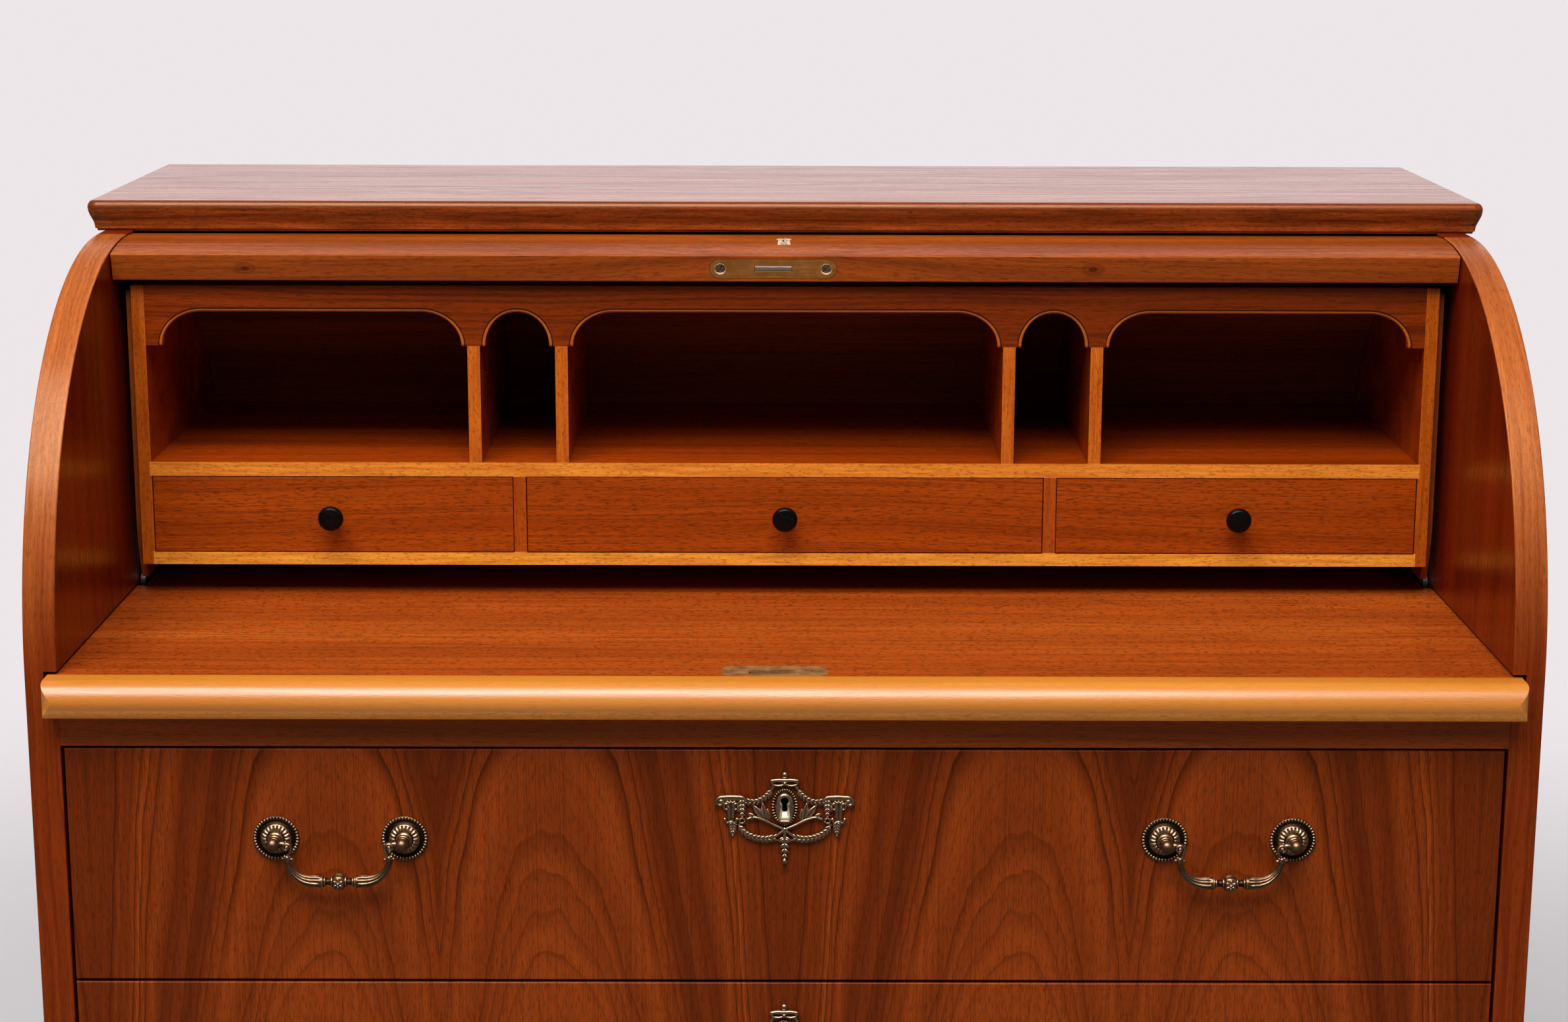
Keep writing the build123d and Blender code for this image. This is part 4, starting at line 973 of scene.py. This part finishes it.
def ornaments(tables):
    # One form for every row of the tables.
    makers = {"laurels": laurelForm, "strips": stripForm, "leaves": leafForm, "loops": loopForm, "balls": ballForms,
              "drops": dropForm}
    return [makers[kind](*row) for kind, rows in tables.items() for row in rows]


def keyholeOutline(topRadius, topZ, waist, foot, footZ, count=96):
    # Right half from the top: a round head, a waist and a flared foot; then its mirror image, at even steps.
    head = ovalPoints(np.linspace(pi / 2, -0.28 * pi, 24), topRadius, topRadius) + (0.0, topZ)
    neckZ = topZ - topRadius
    right = np.concatenate([head, [(waist, neckZ - 0.6), (waist * 1.1, neckZ - 2.0), (foot, footZ + 0.7),
                                   (foot * 0.8, footZ), (0.0, footZ)]])
    outline = np.concatenate([right, right[-2:0:-1] * (-1, 1), right[:1]])
    steps = np.concatenate([[0], np.cumsum(np.linalg.norm(np.diff(outline, axis=0), axis=1))])
    at = np.linspace(0, steps[-1], count, endpoint=False)
    return np.stack([np.interp(at, steps, outline[:, 0]), np.interp(at, steps, outline[:, 1])], axis=1)


def ringForm(rows):
    # Outlines of equal length at given heights, joined one to the next and the last back to the first.
    columns = len(rows[0][0])
    points = np.concatenate([setAt(flat, -height) for flat, height in rows])
    faces = gridFaces(len(rows) + 1, columns, False, False)
    return points, [[corner % len(points) for corner in face[::-1]] for face in faces]


def collarForms(s):
    # Two rings: from the oval's foot over a beaded channel to the raised keyhole, and the lining that narrows into it.
    hole = keyholeOutline(3.0, 3.6, 2.5, 3.3, -7.8)
    deep = keyholeOutline(2.4, 3.7, 1.4, 1.5, -3.0)
    wide, tall = s["oval"]
    oval = ovalPoints(np.arctan2(hole[:, 1] / tall, hole[:, 0] / wide), wide, tall)
    top = s["ovalHeight"]
    collar = ringForm([
        (oval, 0.0), (oval, 0.2 * top), (oval * 0.97, 0.3 * top), (oval * 0.92, 0.32 * top), (oval * 0.84, 0.32 * top),
        (oval * 0.77, 0.4 * top), (hole + (oval - hole) * 0.46, 0.85 * top), (hole + (oval - hole) * 0.22, 1.04 * top),
        (hole * 1.02, 1.0 * top), (hole, 0.9 * top), (hole, 0.0)])
    lining = ringForm([(hole * 0.995, 0.0), (hole * 0.995, 0.86 * top), (deep * 0.3 + hole * 0.68, 0.7 * top),
                       (deep, 0.25 * top), (deep, 0.0)])
    return collar, lining


def plateForm(s):
    # Everything to one side, its mirror image, and the pieces on the middle line.
    half = joinForms(shaftForm(s["shaft"]), *ornaments(s["side"]))
    turn = onceRound(s["ovalBeads"])
    wide, tall = s["oval"]
    centres = setAt(ovalPoints(turn, 0.88 * wide, 0.91 * tall), -0.36 * s["ovalHeight"])
    tilt = np.arctan2(np.sin(turn) * wide, np.cos(turn) * tall)
    beads = ballForms(centres, s["beadRadii"], 8, 10, turn=tilt)
    return joinForms(half, mirroredForm(half), beads, *ornaments(s["middle"]))


paleBrass = {
    "bright": (0.92, 0.76, 0.54), "dull": (0.70, 0.54, 0.34), "rough": 0.42, "brush": (0.4, 0.4, 0.4), "metal": 0.55,
}
liningFinish = metalFinish("keyholeLiningFinish", paleBrass)
oneCollar, oneLining = collarForms(plateSettings)
onePlate = joinForms(plateForm(plateSettings), oneCollar)
for number, keyhole in enumerate(desk["keyholeZ"], 1):
    place = (0.0, desk["front"], keyhole - plateSettings["drop"])
    body = f"drawer_{number}"
    makePiece(f"drawer{number}KeyPlate", movedForm(onePlate, *place), brass, body,
              (f"{body}_escutcheon",))
    makePiece(f"drawer{number}KeyholeLining", movedForm(oneLining, *place), liningFinish, body)
print("keyhole plates made")


# Bead round the arches of the apron

beadSettings = {
    "bottom": 911.2, "rise": 22.0, "run": 26.0, "offset": 0.85, "halfWidth": (0.95, 0.45), "thick": (0.5, 0.25),
    "arches": ((-397.5, -206.5), (-191.5, -150.5), (-135.5, 135.5), (150.5, 191.5), (206.5, 397.5)),
    "grooveOffset": 2.1, "grooveHalfWidth": 0.42, "grooveThick": 0.06,
    # The groove line's tone is painted shade where a cut groove would be.
    "tone": (0.46, 0.105, 0.011), "grooveTone": (0.05, 0.008, 0.002),
}


def archPath(left, right, offset, s):
    # Up a quarter ellipse, along the crown and down another, all moved outwards by offset.
    run = min(s["run"], (right - left) / 2 - 0.5)
    swing = np.linspace(0, pi / 2, 26)
    rise = ovalPoints(swing, -(run + offset), s["rise"] + offset) + (left + run, s["bottom"])
    fall = np.stack([left + right - rise[::-1, 0], rise[::-1, 1]], axis=1)
    crown = np.linspace(rise[-1], fall[0], 12)[1:-1]
    return setAt(np.concatenate([rise, crown, fall]), desk["unitFront"])


def beadForm(left, right, s):
    # A rounded strip along an arch, thinner towards its crown.
    path = archPath(left, right, s["offset"], s)
    crowned = np.clip((path[:, 2] - s["bottom"]) / (s["rise"] + s["offset"]), 0, 1) ** 2
    wide, thick = [low + (high - low) * crowned for low, high in (s["halfWidth"], s["thick"])]
    return sweptForm(path, wide, thick)


def grooveForm(left, right, s):
    # A fine, nearly flat dark line outside the bead: painted shade standing in for a cut groove.
    return sweptForm(archPath(left, right, s["grooveOffset"], s), s["grooveHalfWidth"], s["grooveThick"], sides=8)


def plainWood(name, tone):
    # One tone with soft streaks, with painted shade high up, on the crowns of the arches.
    finish = Finish(name, 0.32, mirror=0.2, tint=warmGloss)
    x, y, z = finish.place()
    streak = finish.noise((x, y, z), (0.05, 0.5, 0.5), detail=3)
    plain = streak.ramp((0.3, darker(tone, 0.72)), (0.7, tone))
    finish.set("Base Color", finish.mix(z.span(922.0, 934.0, 0.0, 0.6), plain, darker(tone, 0.3)))
    return finish.material


beads, grooves = [joinForms(*[maker(*arch, beadSettings) for arch in beadSettings["arches"]])
                  for maker in (beadForm, grooveForm)]
# Both finishes darken above z = 922 on the crowns: painted shade.
makePiece("archBeads", beads, plainWood("archBeadFinish", beadSettings["tone"]), "carcase")
makePiece("archGrooveShadeLines", grooves, plainWood("archGrooveFinish", beadSettings["grooveTone"]), "carcase")
print("arch beads made")


# Slotted screws of the lock plate and the strike plate

screwSettings = {
    "slotHalf": 0.5, "slotDepth": 0.9, "dome": 0.35, "under": 1.4,
    "lock": {"radius": 3.15, "turns": (-0.6, -0.85), "axis": (-7.75, -4.0, 747.5), "reach": 220.35, "angle": 12.65,
             "spacing": 67.0, "sunk": 0.35, "seatRadius": 3.4, "seatWidth": 0.62,
             "plateRun": 33.7, "plateRadius": 6.45, "gapTone": (0.10, 0.030, 0.008)},
    "strike": {"radius": 2.55, "turns": (0.3, -0.4), "centre": (-6.0, -222.3, 747.0), "spacing": 48.0, "sunk": 0.4},
    # Colours of the bright rings on the screws' sinks: a painted highlight.
    "rim": {"bright": (0.98, 0.84, 0.62), "dull": (0.86, 0.66, 0.42), "rough": 0.4, "brush": (0.8, 0.8, 0.8),
            "metal": 0.3},
}


def screwForm(radius, turn, s):
    # Slices across the slot: each is a loop over the domed head (lower inside the slot) and back under it.
    half = s["slotHalf"]
    left = -radius * np.cos(np.linspace(0.12, np.arccos(half / radius), 14))
    x = np.concatenate([left, [-half + 0.01, half - 0.01], -left[::-1]])
    chord = np.sqrt(np.maximum(radius ** 2 - x ** 2, 0.01))
    z = chord[:, None] * np.linspace(-1, 1, 15)[None, :]
    height = s["dome"] * (1 - (x[:, None] ** 2 + z ** 2) / radius ** 2)
    height = np.where(np.abs(x[:, None]) < half, height - s["slotDepth"], height)
    rows = np.stack([np.repeat(x[:, None], 30, axis=1),
                     np.concatenate([height, np.full_like(z, -s["under"])], axis=1),
                     np.concatenate([z, z[:, ::-1]], axis=1)], axis=-1)
    return turnedFlat(rows, turn).reshape(-1, 3), gridFaces(len(x), 30)


def seatHighlightForm(radius, width):
    # A flat, bright ring round the screw's hole whose width grows towards its lowest point: a painted highlight where
    # the sink catches the light.
    angle = np.linspace(0, 2 * pi, 49)
    path = setAt(ovalPoints(angle, radius, radius) - (0.0, 0.1), 0.1)
    return sweptForm(path, width * (0.08 + 0.92 * np.clip(-np.sin(angle), 0, 1) ** 1.5), 0.1, up=(0, 1, 0), sides=8)


def plateGap(run, radius):
    # A fine line round the lock plate: a closed path of two straight runs and two half circles.
    halfLoop = setAt(ovalPoints(np.linspace(-pi / 2, pi / 2, 25), radius, radius) + (run, 0.0), 0.02)
    loop = np.concatenate([halfLoop, halfLoop * (-1, 1, -1), halfLoop[:1]])
    return sweptForm(loop, 0.14, 0.05, up=(0, 1, 0), sides=8)


def setOn(form, origin, outward, upward):
    # Local x, height and z laid along x, outward and upward; this mirrors the form, so its faces turn over.
    points = form[0][:, :1] * (1, 0, 0) + form[0][:, 1:2] * np.array(outward) + form[0][:, 2:] * np.array(upward)
    return points + origin, turnedOver(form[1])


def screwPair(middle, outward, upward, s, shared):
    # Two heads to either side of the middle, sunk into the plate.
    heads = []
    for side, turn in zip((-1, 1), s["turns"]):
        spot = middle + (side * s["spacing"] / 2, 0, 0) - s["sunk"] * np.array(outward)
        heads.append(setOn(screwForm(s["radius"], turn, shared), spot, outward, upward))
    return joinForms(*heads)


lock, strike = screwSettings["lock"], screwSettings["strike"]
tip = radians(lock["angle"])
faceOut, faceUp = np.array([0.0, -np.cos(tip), -np.sin(tip)]), np.array([0.0, -np.sin(tip), np.cos(tip)])
lockMiddle = lock["axis"] + lock["reach"] * faceUp
heads = screwPair(lockMiddle, faceOut, faceUp, lock, screwSettings)
makePiece("lockScrews", heads, finishes["screw_steel"], "cover", ("cover_lock_screws",))
# Bright rings on the lock screws' sinks: a painted highlight.
oneSeatHighlight = seatHighlightForm(lock["seatRadius"], lock["seatWidth"])
seatHighlights = [setOn(oneSeatHighlight, lockMiddle + (side * lock["spacing"] / 2, 0, 0), faceOut, faceUp) for side in (-1, 1)]
makePiece("lockScrewSeatHighlights", joinForms(*seatHighlights), metalFinish("seatFinish", screwSettings["rim"]), "cover")
gap = setOn(plateGap(lock["plateRun"], lock["plateRadius"]), lockMiddle, faceOut, faceUp)
makePiece("lockPlateGap", gap, plainWood("lockGapFinish", lock["gapTone"]), "cover")
heads = screwPair(np.array(strike["centre"]), (0, 0, 1), (0, 1, 0), strike, screwSettings)
makePiece("strikeScrews", heads, finishes["strike_brass"], "slide", ("strike_screws",))
print("screws made")
